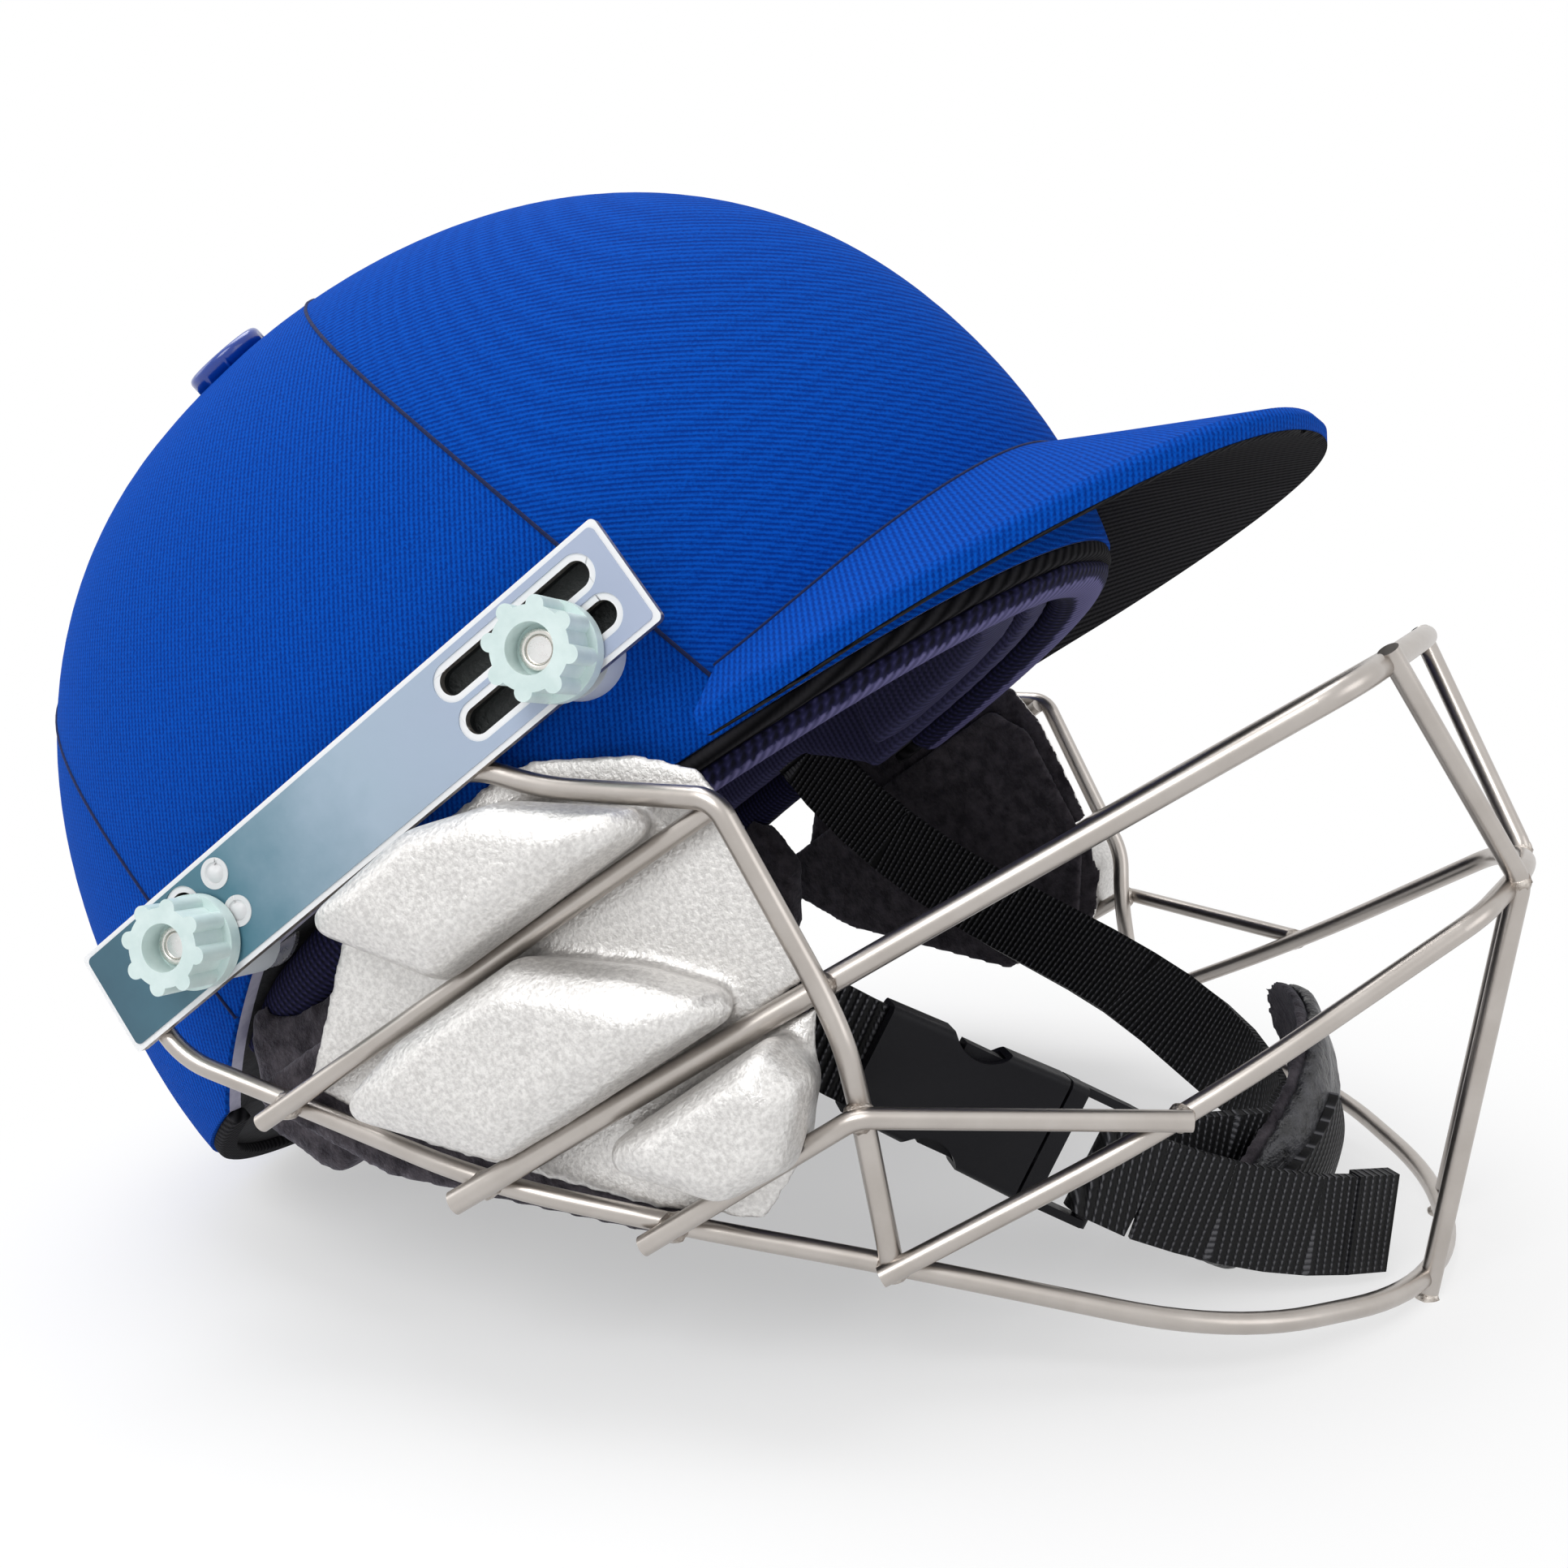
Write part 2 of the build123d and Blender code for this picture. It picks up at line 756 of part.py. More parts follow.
def front_upright_points():
    """The bend points of a front wire, from above the top bar to its foot on the floor."""
    r = wire_radius
    bite = r * weld_bite_share
    top_x = bar_face(top_bar_corner, top_bar_front_x, front_wire_top_half)
    middle_x = bar_face(middle_bar_corner, middle_bar_front_x, front_wire_middle_half)
    foot_x = bar_face(hoop_corner, hoop_front_x, front_wire_foot_half)
    foot = hoop_point(foot_x, -front_wire_foot_half)
    top_at = Vector(top_x + thick_wire_radius + bite, -front_wire_top_half, top_bar_level)
    middle_at = Vector(middle_x + wire_radius + bite, -front_wire_middle_half, middle_bar_level)
    foot_at = Vector(foot.X + wire_radius + bite, foot.Y, foot.Z)
    points = [
        stub_past(middle_at, top_at, wire_radius),
        middle_at,
        stub_past(middle_at, foot_at, foot_stub),
    ]
    return points


def front_upright():
    return bent_wire(front_upright_points(), wire_radius, {1: 3 * wire_radius})


def coped(wire, others):
    """A wire with saddles cut where it is welded to others, its largest piece kept."""
    for other in others:
        wire = wire - other
    return max(wire.solids(), key=lambda solid: solid.volume)


# Side pads

def rounded_outline(points, corner_round):
    face = make_face(Polyline(*points, close=True))
    return fillet(face.vertices(), corner_round)


def pad_lobe(points):
    """One foam lobe that bulges between two bars, with a crested top."""
    centre_x = sum(point[0] for point in points) / len(points)
    centre_y = sum(point[1] for point in points) / len(points)
    heights = (lobe_sink, lobe_shoulder, lobe_crest, lobe_top)
    sections = []
    for height, share in zip(heights, lobe_section_shares):
        ring = [(centre_x + (x - centre_x) * share, centre_y + (y - centre_y) * share) for x, y in points]
        sections.append(Pos(0, 0, height) * rounded_outline(ring, lobe_corner_round * share))
    return loft(sections, ruled=True)


def side_pad(wires):
    base = Pos(0, 0, flange_back) * extrude(
        rounded_outline(flange, flange_corner_round), amount=flange_front - flange_back
    )
    for points in (upper_lobe, middle_lobe, lower_lobe):
        base += pad_lobe(points)
    base = side_place() * base
    for wire in wires:
        base = base - wire
    return max(base.solids(), key=lambda solid: solid.volume)


def side_pad_lining():
    face = rounded_outline(lining, flange_corner_round)
    return side_place() * Pos(0, 0, flange_back) * extrude(face, amount=-lining_thickness)


# Padding inside the shell

liner_inset = cover_thickness + shell_thickness
band_inset = liner_inset + liner_thickness


def level_slab(low, high):
    """All the space between two levels."""
    reach = 2 * dome_front_reach
    slab = Box(2 * reach, 2 * reach, high - low, align=(Align.CENTER, Align.CENTER, Align.MIN))
    return Pos(dome_centre_x, 0, low) * slab


def forehead_roll():
    """A padded roll under the front rim, from temple to temple."""
    share = dome_share(rim_level, 0)
    path = EllipticalCenterArc(
        (dome_centre_x, 0, rim_level),
        dome_front_reach * share - roll_inset,
        dome_half_width * share - roll_inset,
        start_angle=-roll_end_angle,
        arc_size=2 * roll_end_angle,
    )
    start = Plane(origin=path @ 0, z_dir=path % 0, x_dir=(path % 0).cross(Vector(0, 0, 1)))
    roll = sweep(start * Ellipse(roll_radial_half, roll_drop), path=path.edge())
    keep = side_block(
        (
            (dome_centre_x, rim_level),
            (dome_centre_x, rim_level - cutter_overrun),
            (dome_front_reach, rim_level - cutter_overrun),
            (dome_front_reach, rim_level),
        ),
        dome_half_width,
    )
    return roll & keep


def side_roll():
    """The mesh-covered roll that lines the ear notch on the right."""
    points = []
    for share, level in zip(side_roll_reach_shares, side_roll_levels):
        x = notch_rear * share
        half = dome_half_at(x, level) - liner_inset - side_roll_radius
        points.append(right_point(x, half, level))
    path = ThreePointArc(*points)
    body = sweep(Plane(origin=path @ 0, z_dir=path % 0) * Circle(side_roll_radius), path=path.edge())
    return body


def ear_pad_right():
    face = rounded_outline(ear_pad, ear_pad_corner_round)
    return side_place() * Pos(0, 0, -ear_pad_sink) * extrude(face, amount=-ear_pad_thickness)


def crown_column():
    outline = Pos(dome_centre_x, 0, 0) * Ellipse(crown_pad_length / 2, crown_pad_width / 2)
    return extrude(outline, amount=belt_level + dome_height + cutter_overrun)


# Crown eyelets

def eyelet_frame(side):
    """A frame on the dome's skin at an eyelet, its z pointing out."""
    across = (eyelet_y / dome_half_width) ** 2
    along = ((eyelet_x - dome_centre_x) / dome_front_reach) ** 2
    share = sqrt(across + along)
    rise = dome_height * (1 - share ** dome_power) ** (1 / dome_power)
    slope = (rise / dome_height) ** (dome_power - 1) / dome_height
    pull = share ** (dome_power - 2)
    normal = Vector(
        pull * (eyelet_x - dome_centre_x) / dome_front_reach ** 2,
        pull * side * eyelet_y / dome_half_width ** 2,
        slope,
    )
    return Plane(origin=(eyelet_x, side * eyelet_y, belt_level + rise), z_dir=normal.normalized())


def eyelet(side):
    through = cover_thickness + shell_thickness
    ring = Circle(eyelet_barrel_radius) - Circle(eyelet_hole_radius)
    barrel = Pos(0, 0, -through) * extrude(ring, amount=through)
    flange_profile = (
        Pos(eyelet_hole_radius, -eyelet_seat_depth)
        * Rectangle(
            eyelet_flange_radius - eyelet_hole_radius,
            eyelet_flange_height + eyelet_seat_depth,
            align=(Align.MIN, Align.MIN),
        )
    )
    outer = flange_profile.vertices().group_by(Axis.Y)[-1]
    flange_profile = fillet(outer, eyelet_edge_round)
    ring_flange = revolve(Plane.XZ * flange_profile, axis=Axis.Z)
    return eyelet_frame(side) * (barrel + ring_flange)


def eyelet_washer(side):
    through = cover_thickness + shell_thickness
    ring = Circle(eyelet_washer_radius) - Circle(eyelet_hole_radius)
    return eyelet_frame(side) * Pos(0, 0, -through) * extrude(ring, amount=-eyelet_washer_thickness)


def eyelet_bore(side, radius):
    depth = cover_thickness + shell_thickness + liner_thickness + crown_pad_thickness
    return eyelet_frame(side) * Cylinder(radius, 2 * depth + cutter_overrun)


# Chin strap

def webbing(stations, width=web_width, thickness=web_thickness, leads=None):
    """Flat webbing through stations, each a point and the direction of the webbing's width."""
    points = [Vector(*point) for point, across in stations]
    sides = [Vector(*across) for point, across in stations]
    curve = Spline(*points, tangents=leads) if leads else Spline(*points)
    runs = [0]
    for before, after in zip(points, points[1:]):
        runs.append(runs[-1] + (after - before).length)
    count = web_steps_per_run * (len(points) - 1)
    sections = []
    for number in range(count + 1):
        share = number / count
        reach = share * runs[-1]
        index = max(i for i in range(len(runs) - 1) if runs[i] <= reach)
        part = (reach - runs[index]) / (runs[index + 1] - runs[index])
        side = sides[index] * (1 - part) + sides[index + 1] * part
        along = curve % share
        side = (side - along * side.dot(along)).normalized()
        sections.append(Plane(origin=curve @ share, x_dir=side, z_dir=along) * Rectangle(width, thickness))
    return loft(sections, ruled=True)


def buckle_place():
    """The buckle's frame: x across, y outwards from the cheek, z towards the chin."""
    along = Vector(*buckle_axis).normalized()
    face = Vector(*buckle_face)
    face = (face - along * face.dot(along)).normalized()
    return Plane(origin=buckle_centre, x_dir=face.cross(along), z_dir=along)


def in_buckle(x, y, z):
    return buckle_place().from_local_coords(Vector(x, y, z))


buckle_across = tuple(buckle_place().x_dir)
male_start = buckle_length / 2 + male_shoulder_gap
bar_place = male_start + ladder_bar_reach
loop_inner = ladder_bar_radius + loop_play
loop_middle = loop_inner + web_thickness / 2


def buckle_block(low, high, width_low, width_high, thickness, corner_round):
    """A rounded block along the buckle, tapering from one width to another."""
    first = Pos(0, 0, low) * RectangleRounded(width_low, thickness, corner_round)
    last = Pos(0, 0, high) * RectangleRounded(width_high, thickness, corner_round)
    return loft([first, last])


def buckle_female():
    low = -buckle_length / 2
    high = buckle_length / 2
    body = buckle_block(low, high, buckle_nose_width, buckle_width, buckle_thickness, buckle_wall)
    room = buckle_width - 2 * buckle_wall
    hollow = Pos(0, 0, high) * Box(
        room,
        buckle_thickness - 2 * buckle_wall,
        2 * (prong_length + prong_gap),
    )
    body = body - hollow
    for side in (-1, 1):
        scoop = Cylinder(buckle_scoop_radius, 2 * buckle_thickness, rotation=(90, 0, 0))
        reach = buckle_width / 2 + buckle_scoop_radius - buckle_scoop_depth
        body -= Pos(side * reach, 0, 0) * scoop
    web_slot = Pos(0, 0, low) * Box(web_width, web_thickness, 2 * buckle_web_room)
    return buckle_place() * (body - web_slot)


def buckle_male():
    shoulder = buckle_block(
        male_start, male_start + male_shoulder_length, buckle_width, buckle_width, buckle_thickness, buckle_wall
    )
    room = buckle_width - 2 * buckle_wall - 2 * prong_gap
    height = buckle_thickness - 2 * buckle_wall - 2 * prong_gap
    prong_end = male_start - male_shoulder_gap - prong_length
    length = male_start - prong_end
    body = shoulder
    for place in (-(room - prong_width) / 2, 0, (room - prong_width) / 2):
        body += Pos(place, 0, prong_end + length / 2) * Box(prong_width, height, length)
    rail_length = bar_place - male_start
    for side in (-1, 1):
        place = side * (buckle_width - ladder_rail_width) / 2
        body += Pos(place, 0, male_start + rail_length / 2) * Box(ladder_rail_width, ladder_rail_height, rail_length)
    bar = Cylinder(ladder_bar_radius, buckle_width, rotation=(0, 90, 0))
    body += Pos(0, 0, bar_place) * bar
    return buckle_place() * body


def strap_loop():
    """The webbing round the ladder bar, with a straight leg on each side of it."""
    ring = Circle(loop_inner + web_thickness) - Circle(loop_inner)
    ring &= Pos(-loop_inner * 2, 0) * Rectangle(loop_inner * 4, loop_inner * 4)
    legs = Rectangle(loop_leg_length, web_thickness, align=(Align.MIN, Align.CENTER))
    ring += Pos(0, loop_middle) * legs
    ring += Pos(0, -loop_middle) * legs
    band = extrude(ring, amount=web_width / 2, both=True)
    turned = Plane(origin=(0, 0, bar_place), x_dir=(0, 0, 1), z_dir=(1, 0, 0))
    return buckle_place() * (turned * band)


def strap_right():
    end = in_buckle(0, 0, -buckle_length / 2 + buckle_web_room)
    entry = in_buckle(0, 0, -buckle_length / 2)
    stations = list(right_strap_stations)
    stations.append((tuple(entry), buckle_across))
    stations.append((tuple(end), buckle_across))
    return webbing(stations)


def strap_left():
    inner_side = 1 if on_inner_side(1) else -1
    end = in_buckle(0, inner_side * loop_middle, bar_place + loop_leg_length)
    stations = list(left_strap_stations)
    stations.append((tuple(end), buckle_across))
    first_run = Vector(*stations[1][0]) - Vector(*stations[0][0])
    into_loop = Vector(*in_buckle(0, 0, 0)) - Vector(*in_buckle(0, 0, 1))
    return webbing(stations, leads=(first_run.normalized(), into_loop.normalized()))


def on_inner_side(side):
    """Whether one side of the ladder bar faces the chin."""
    middle_point = in_buckle(0, 0, bar_place)
    beside = in_buckle(0, side, bar_place)
    chin = Vector(cup_middle[0], cup_middle[1], cup_middle[2])
    return (beside - chin).length < (middle_point - chin).length


def strap_tail():
    outer_side = -1 if on_inner_side(1) else 1
    start = in_buckle(0, outer_side * loop_middle, bar_place + loop_leg_length)
    stations = [(tuple(start), buckle_across)] + list(tail_stations)
    tail = webbing(stations)
    last = Vector(*tail_stations[-1][0])
    before = Vector(*tail_stations[-2][0])
    along = (last - before).normalized()
    across = Vector(*tail_stations[-1][1])
    across = (across - along * across.dot(along)).normalized()
    fold_middle = last - along * (tail_fold_length / 2)
    fold = Plane(origin=fold_middle, x_dir=across, z_dir=along) * Box(
        web_width, 2 * web_thickness, tail_fold_length
    )
    return tail + fold


# Chin cup

def cup_place():
    """The cup's frame at the centre of its sphere: x along the cup, z outwards."""
    face = Vector(*cup_face).normalized()
    along = Vector(*cup_length_axis)
    along = (along - face * along.dot(face)).normalized()
    centre = Vector(*cup_middle) + face * (cup_depth - cup_radius)
    return Plane(origin=centre, x_dir=along, z_dir=face)


def cup_layer(outer, inner, margin=0):
    column = extrude(Ellipse(cup_length / 2 - margin, cup_height / 2 - margin), amount=2 * cup_radius)
    return cup_place() * ((Sphere(outer) - Sphere(inner)) & column)


def chin_cup():
    return cup_layer(cup_radius, cup_radius - cup_thickness)


def chin_cup_lining():
    return cup_layer(cup_radius - cup_thickness, cup_radius - cup_thickness - cup_lining_thickness)


def cup_strap():
    """The webbing that lies over the cup's outer side."""
    band = Sphere(cup_radius + web_thickness) - Sphere(cup_radius)
    reach = 2 * cup_radius
    wedge = Polyline(
        (0, 0),
        (reach * sin(radians(cup_strap_start_angle)), reach * cos(radians(cup_strap_start_angle))),
        (-reach * sin(radians(cup_strap_turn)), reach * cos(radians(cup_strap_turn))),
        close=True,
    )
    slab = extrude(make_face(wedge), amount=web_width / 2, both=True)
    return cup_place() * (band & (Pos(0, cup_strap_shift, 0) * (Rot(90, 0, 0) * slab)))


# Rim binding and the elastic behind the head

def ear_gap():
    """The stretch of rim over the ears that has no binding."""
    low = rim_level - cutter_overrun
    points = ((notch_rear, low), (notch_rear, 0), (notch_front, 0), (notch_front, low))
    return side_block(points, dome_half_width + cutter_overrun)


def rear_elastic():
    inset = band_inset + band_thickness + elastic_radius
    share = dome_share(elastic_level, 0)
    path = EllipticalCenterArc(
        (dome_centre_x, 0, elastic_level),
        dome_rear_reach * share - inset,
        dome_half_width * share - inset,
        start_angle=elastic_start_angle,
        arc_size=360 - 2 * elastic_start_angle,
    )
    start = Plane(origin=path @ 0, z_dir=path % 0)
    return sweep(start * Circle(elastic_radius), path=path.edge())


def sector(centre_angle, half_angle, low, high):
    """The space between two angles round the head and between two levels."""
    reach = 2 * dome_front_reach
    first = radians(centre_angle - half_angle)
    last = radians(centre_angle + half_angle)
    wedge = Polyline(
        (dome_centre_x, 0, low),
        (dome_centre_x + reach * cos(first), reach * sin(first), low),
        (dome_centre_x + reach * cos(last), reach * sin(last), low),
        close=True,
    )
    return extrude(make_face(wedge), amount=high - low)


# Building everything in the helmet frame

def both_sides(right):
    return right, mirror(right, about=Plane.XZ)


def on_both(shapes):
    """The same pieces on the right and on the left, as one group."""
    pieces = []
    for shape in shapes:
        pieces += list(both_sides(shape))
    return pieces


def largest(shape):
    return max(shape.solids(), key=lambda solid: solid.volume)


nodes = {}

# The shell with its covers, studs and eyelets
skin = dome_block(0)
under_cover = dome_block(cover_thickness)
under_shell = dome_block(cover_thickness + shell_thickness)
under_liner = dome_block(band_inset)
under_band = dome_block(band_inset + band_thickness)
under_forehead = dome_block(band_inset + band_thickness + forehead_pad_thickness)
under_nape = dome_block(band_inset + band_thickness + nape_pad_thickness)
under_crown = dome_block(band_inset + crown_pad_thickness)
notch = ear_notch(0)
above_rim = level_slab(rim_level, belt_level + dome_height)

studs = on_both([plate_place() * stud(x, rise) for x, rise in stud_places])
eyelets = [eyelet(-1), eyelet(1)]
washers = [eyelet_washer(-1), eyelet_washer(1)]

cover = ((skin - under_cover) & above_rim) - notch
hard_shell = ((under_cover - under_shell) & above_rim) - notch
impact_liner = ((under_shell - under_liner) & above_rim) - notch
for piece in studs + eyelets:
    cover -= piece
    hard_shell -= piece
    impact_liner -= piece
for piece in washers:
    hard_shell -= piece
    impact_liner -= piece
impact_liner -= eyelet_bore(-1, eyelet_hole_radius)
impact_liner -= eyelet_bore(1, eyelet_hole_radius)

front_space = seam_block(front_seam_foot, front_seam_middle, front_seam_top, 2 * dome_front_reach)
rear_space = seam_block(rear_seam_foot, rear_seam_middle, rear_seam_top, -2 * dome_front_reach)
nodes["hard_shell"] = largest(hard_shell)
nodes["crown_cover_front"] = largest(cover & front_space)
nodes["crown_cover_rear"] = largest(cover & rear_space)
nodes["crown_cover_middle"] = largest(cover - front_space - rear_space)
nodes["peak_board"] = largest(peak_board() - skin)
nodes["peak_cover_top"] = largest(peak_top() - skin)
nodes["peak_cover_under"] = largest(peak_under() - skin)
nodes["vent_eyelet_right"] = eyelets[0]
nodes["vent_eyelet_left"] = eyelets[1]
nodes["eyelet_washers"] = washers
nodes["plate_studs"] = studs
nodes["stud_spacers"] = on_both([plate_place() * spacer(x, rise) - skin for x, rise in stud_places])

# The padding
strap_on_right = strap_right()
strap_on_left = strap_left()
band_notch = ear_notch(band_drop * 2)
band_space = level_slab(rim_level - band_drop, band_top_level)
comfort = ((under_liner - under_band) & band_space) - band_notch - strap_on_right - strap_on_left
under_edge = dome_block(binding_inset)
under_binding = dome_block(binding_inset + binding_width)
binding = ((under_edge - under_binding) & level_slab(rim_level - binding_drop, rim_level)) - ear_gap()
bindings = sorted(binding.solids(), key=lambda solid: solid.center().X)
roll = forehead_roll() - binding - comfort
side_cushion = side_roll() - impact_liner - hard_shell - cover - comfort - strap_on_right
ear_cushion = ear_pad_right() - side_cushion
nodes["impact_liner"] = largest(impact_liner)
nodes["comfort_band"] = largest(comfort)
nodes["forehead_roll"] = largest(roll)
front_sector = sector(0, forehead_pad_half_angle, rim_level, forehead_pad_top)
rear_sector = sector(180, nape_pad_half_angle, nape_pad_low, nape_pad_top_level)
nodes["forehead_pad"] = largest((under_band - under_forehead) & front_sector)
nodes["nape_pad"] = largest((under_band - under_nape) & rear_sector)
nodes["crown_pad"] = largest((under_liner - under_crown) & crown_column())
nodes["rim_binding_rear"] = bindings[0]
nodes["rim_binding_front"] = bindings[-1]
nodes["side_roll_right"], nodes["side_roll_left"] = both_sides(largest(side_cushion))
nodes["ear_pad_right"], nodes["ear_pad_left"] = both_sides(largest(ear_cushion))
nodes["rear_elastic"] = rear_elastic() - nodes["nape_pad"] - comfort

# The chin strap
cup = chin_cup()
cup_lining = chin_cup_lining()
nodes["chin_strap_right"] = strap_on_right
nodes["chin_strap_left"] = largest(strap_on_left + strap_loop())
nodes["strap_tail"] = strap_tail() - strap_loop()
nodes["buckle_female"] = largest(buckle_female() - strap_on_right)
nodes["buckle_male"] = buckle_male()
nodes["chin_cup"] = cup
nodes["chin_cup_lining"] = cup_lining
nodes["cup_strap"] = cup_strap()

# The face guard
plate = plate_place() * outer_plate()
hoop = coped(lower_hoop(), on_both([plate]))
top_wire = coped(top_bar(), [hoop])
middle_wire = coped(middle_bar(), [hoop])
upright = coped(side_upright(), [plate, hoop, top_wire, middle_wire])
cheek_upper = coped(upper_cheek_bar(), [hoop, upright])
cheek_lower = coped(lower_cheek_bar(), [hoop, upright, middle_wire])
front_wire = coped(front_upright(), [hoop, top_wire, middle_wire])
backing = coped(plate_place() * inner_plate(), [hoop, upright])
wires = [plate, backing, hoop, top_wire, middle_wire, upright, cheek_upper, cheek_lower]
pad = side_pad(wires)
pad_lining = largest(side_pad_lining() - hoop - upright - top_wire)
nodes["side_plate_right"], nodes["side_plate_left"] = both_sides(plate)
nodes["plate_backing_right"], nodes["plate_backing_left"] = both_sides(backing)
nodes["plate_label_right"], nodes["plate_label_left"] = both_sides(plate_place() * label_panel())
nodes["plate_rivets"] = on_both([plate_place() * pin for pin in rivets()])
nodes["lower_hoop"] = hoop
nodes["top_bar"] = top_wire
nodes["middle_bar"] = middle_wire
nodes["side_upright_right"], nodes["side_upright_left"] = both_sides(upright)
nodes["upper_cheek_bar_right"], nodes["upper_cheek_bar_left"] = both_sides(cheek_upper)
nodes["lower_cheek_bar_right"], nodes["lower_cheek_bar_left"] = both_sides(cheek_lower)
nodes["front_wire_right"], nodes["front_wire_left"] = both_sides(front_wire)
nodes["side_pad_right"], nodes["side_pad_left"] = both_sides(pad)
nodes["side_pad_lining_right"], nodes["side_pad_lining_left"] = both_sides(pad_lining)
for name, (x, rise) in zip(("front", "rear"), stud_places):
    turned = plate_place() * Pos(x, rise, label_thickness + running_gap) * knob()
    nodes["knob_" + name + "_right"], nodes["knob_" + name + "_left"] = both_sides(turned)

# Laying the helmet down on its rear rim and the feet of the face guard
foot = front_upright_points()[-1]
rear_share = dome_share(rim_level - binding_drop, binding_inset)
rear_x = dome_centre_x - (dome_rear_reach - binding_inset) * rear_share
rear_foot = Vector(rear_x, 0, rim_level - binding_drop)
first_pitch = atan2(rear_foot.Z - foot.Z, foot.X - rear_foot.X)
lift = Vector(sin(first_pitch), 0, cos(first_pitch)) * floor_trim
rear_foot = rear_foot + lift
pitch = degrees(atan2(rear_foot.Z - foot.Z, foot.X - rear_foot.X))
laid = Rot(0, -pitch, 0)
floor_level = (laid * Pos(rear_foot.X, rear_foot.Y, rear_foot.Z)).position.Z


def lay_down(shape, shift):
    pieces = shape if isinstance(shape, list) else [shape]
    moved = [Pos(shift, 0, -floor_level) * laid * piece for piece in pieces]
    return [solid for piece in moved for solid in piece.solids()]


span = 4 * dome_front_reach
under_floor = Box(span, span, span, align=(Align.CENTER, Align.CENTER, Align.MAX))
laid_nodes = {name: lay_down(shape, 0) for name, shape in nodes.items()}
for name in ("rim_binding_rear", "front_wire_right", "front_wire_left"):
    laid_nodes[name] = [largest(solid - under_floor) for solid in laid_nodes[name]]
boxes = [solid.bounding_box() for solids in laid_nodes.values() for solid in solids]
shift_x = -(min(box.min.X for box in boxes) + max(box.max.X for box in boxes)) / 2
os.makedirs("parts", exist_ok=True)
for name, solids in laid_nodes.items():
    placed = [Pos(shift_x, 0, 0) * solid for solid in solids]
    shape = placed[0] if len(placed) == 1 else Compound(children=placed)
    export_step(shape, "parts/" + name + ".step")
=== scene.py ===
from math import pi, radians

import bpy
from mathutils import Matrix, Vector
from mathutils.bvhtree import BVHTree


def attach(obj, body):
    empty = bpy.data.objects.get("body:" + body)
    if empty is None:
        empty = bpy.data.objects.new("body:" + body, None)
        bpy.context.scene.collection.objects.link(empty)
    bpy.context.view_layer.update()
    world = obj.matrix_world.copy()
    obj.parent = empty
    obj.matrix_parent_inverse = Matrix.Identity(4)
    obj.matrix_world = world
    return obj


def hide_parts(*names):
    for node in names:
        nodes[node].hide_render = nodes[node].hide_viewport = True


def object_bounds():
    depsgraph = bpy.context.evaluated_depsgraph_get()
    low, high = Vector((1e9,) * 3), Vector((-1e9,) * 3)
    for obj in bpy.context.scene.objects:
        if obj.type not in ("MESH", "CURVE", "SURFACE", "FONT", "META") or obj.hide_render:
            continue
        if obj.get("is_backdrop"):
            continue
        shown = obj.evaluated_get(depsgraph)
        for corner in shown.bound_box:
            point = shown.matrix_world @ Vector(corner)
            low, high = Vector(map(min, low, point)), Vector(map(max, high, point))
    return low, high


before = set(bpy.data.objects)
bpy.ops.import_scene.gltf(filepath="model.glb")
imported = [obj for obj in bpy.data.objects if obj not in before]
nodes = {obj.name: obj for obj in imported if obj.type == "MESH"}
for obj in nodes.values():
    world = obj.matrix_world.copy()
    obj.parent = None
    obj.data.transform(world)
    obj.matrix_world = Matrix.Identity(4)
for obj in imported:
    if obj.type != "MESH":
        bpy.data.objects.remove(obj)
cad_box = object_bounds()

# The studio. A white table under a large softbox at the front left, a wide one overhead and a
# weaker one behind, with the camera low beside the face guard. Places in the helmet frame
# (X forward, Y to the wearer's left, Z up on the wearer) are laid down with the helmet.
scene = bpy.context.scene
scene.view_settings.view_transform = "Standard"
tilt = radians(31.7075)
helmet = Matrix.Translation((-0.0135886, 0, 0.1114085)) @ Matrix.Rotation(-tilt, 4, "Y")


def at(x, y, z):
    """A point given in millimetres in the helmet frame."""
    return helmet @ Vector((x / 1000, y / 1000, z / 1000))


def toward(x, y, z):
    return (helmet.to_3x3() @ Vector((x, y, z))).normalized()


camera_data = bpy.data.cameras.new("photo_camera")
camera_data.lens = 33.17
camera_data.sensor_width = 36
camera_data.clip_start = 0.01
camera_data.clip_end = 20
camera = bpy.data.objects.new("photo_camera", camera_data)
scene.collection.objects.link(camera)
view_right, view_up = toward(0.7093, 0.4594, -0.5345), toward(0.5363, 0.1403, 0.8323)
view_axes = (view_right, view_up, -toward(-0.4574, 0.8771, 0.1468))
camera.matrix_world = Matrix.Translation(at(182.3, -304.2, -80.5)) @ Matrix(view_axes).transposed().to_4x4()
scene.camera = camera

for name, place, size, power in (
    ("front_softbox", (0.1, -1.0, 0.95), 0.6, 6.2),
    ("overhead_softbox", (-0.25, 0.05, 1.3), 0.8, 8.8),
    ("right_softbox", (1.3, -0.2, 0.5), 0.7, 1.8),
    ("rear_softbox", (-1.1, -0.5, 0.7), 0.7, 2.0),
):
    lamp_data = bpy.data.lights.new(name, "AREA")
    lamp_data.shape = "SQUARE"
    lamp_data.size = size
    lamp_data.energy = power
    lamp = bpy.data.objects.new(name, lamp_data)
    scene.collection.objects.link(lamp)
    aim = (Vector((0.02, 0, 0.1)) - Vector(place)).to_track_quat("-Z", "Y")
    lamp.matrix_world = Matrix.Translation(place) @ aim.to_matrix().to_4x4()


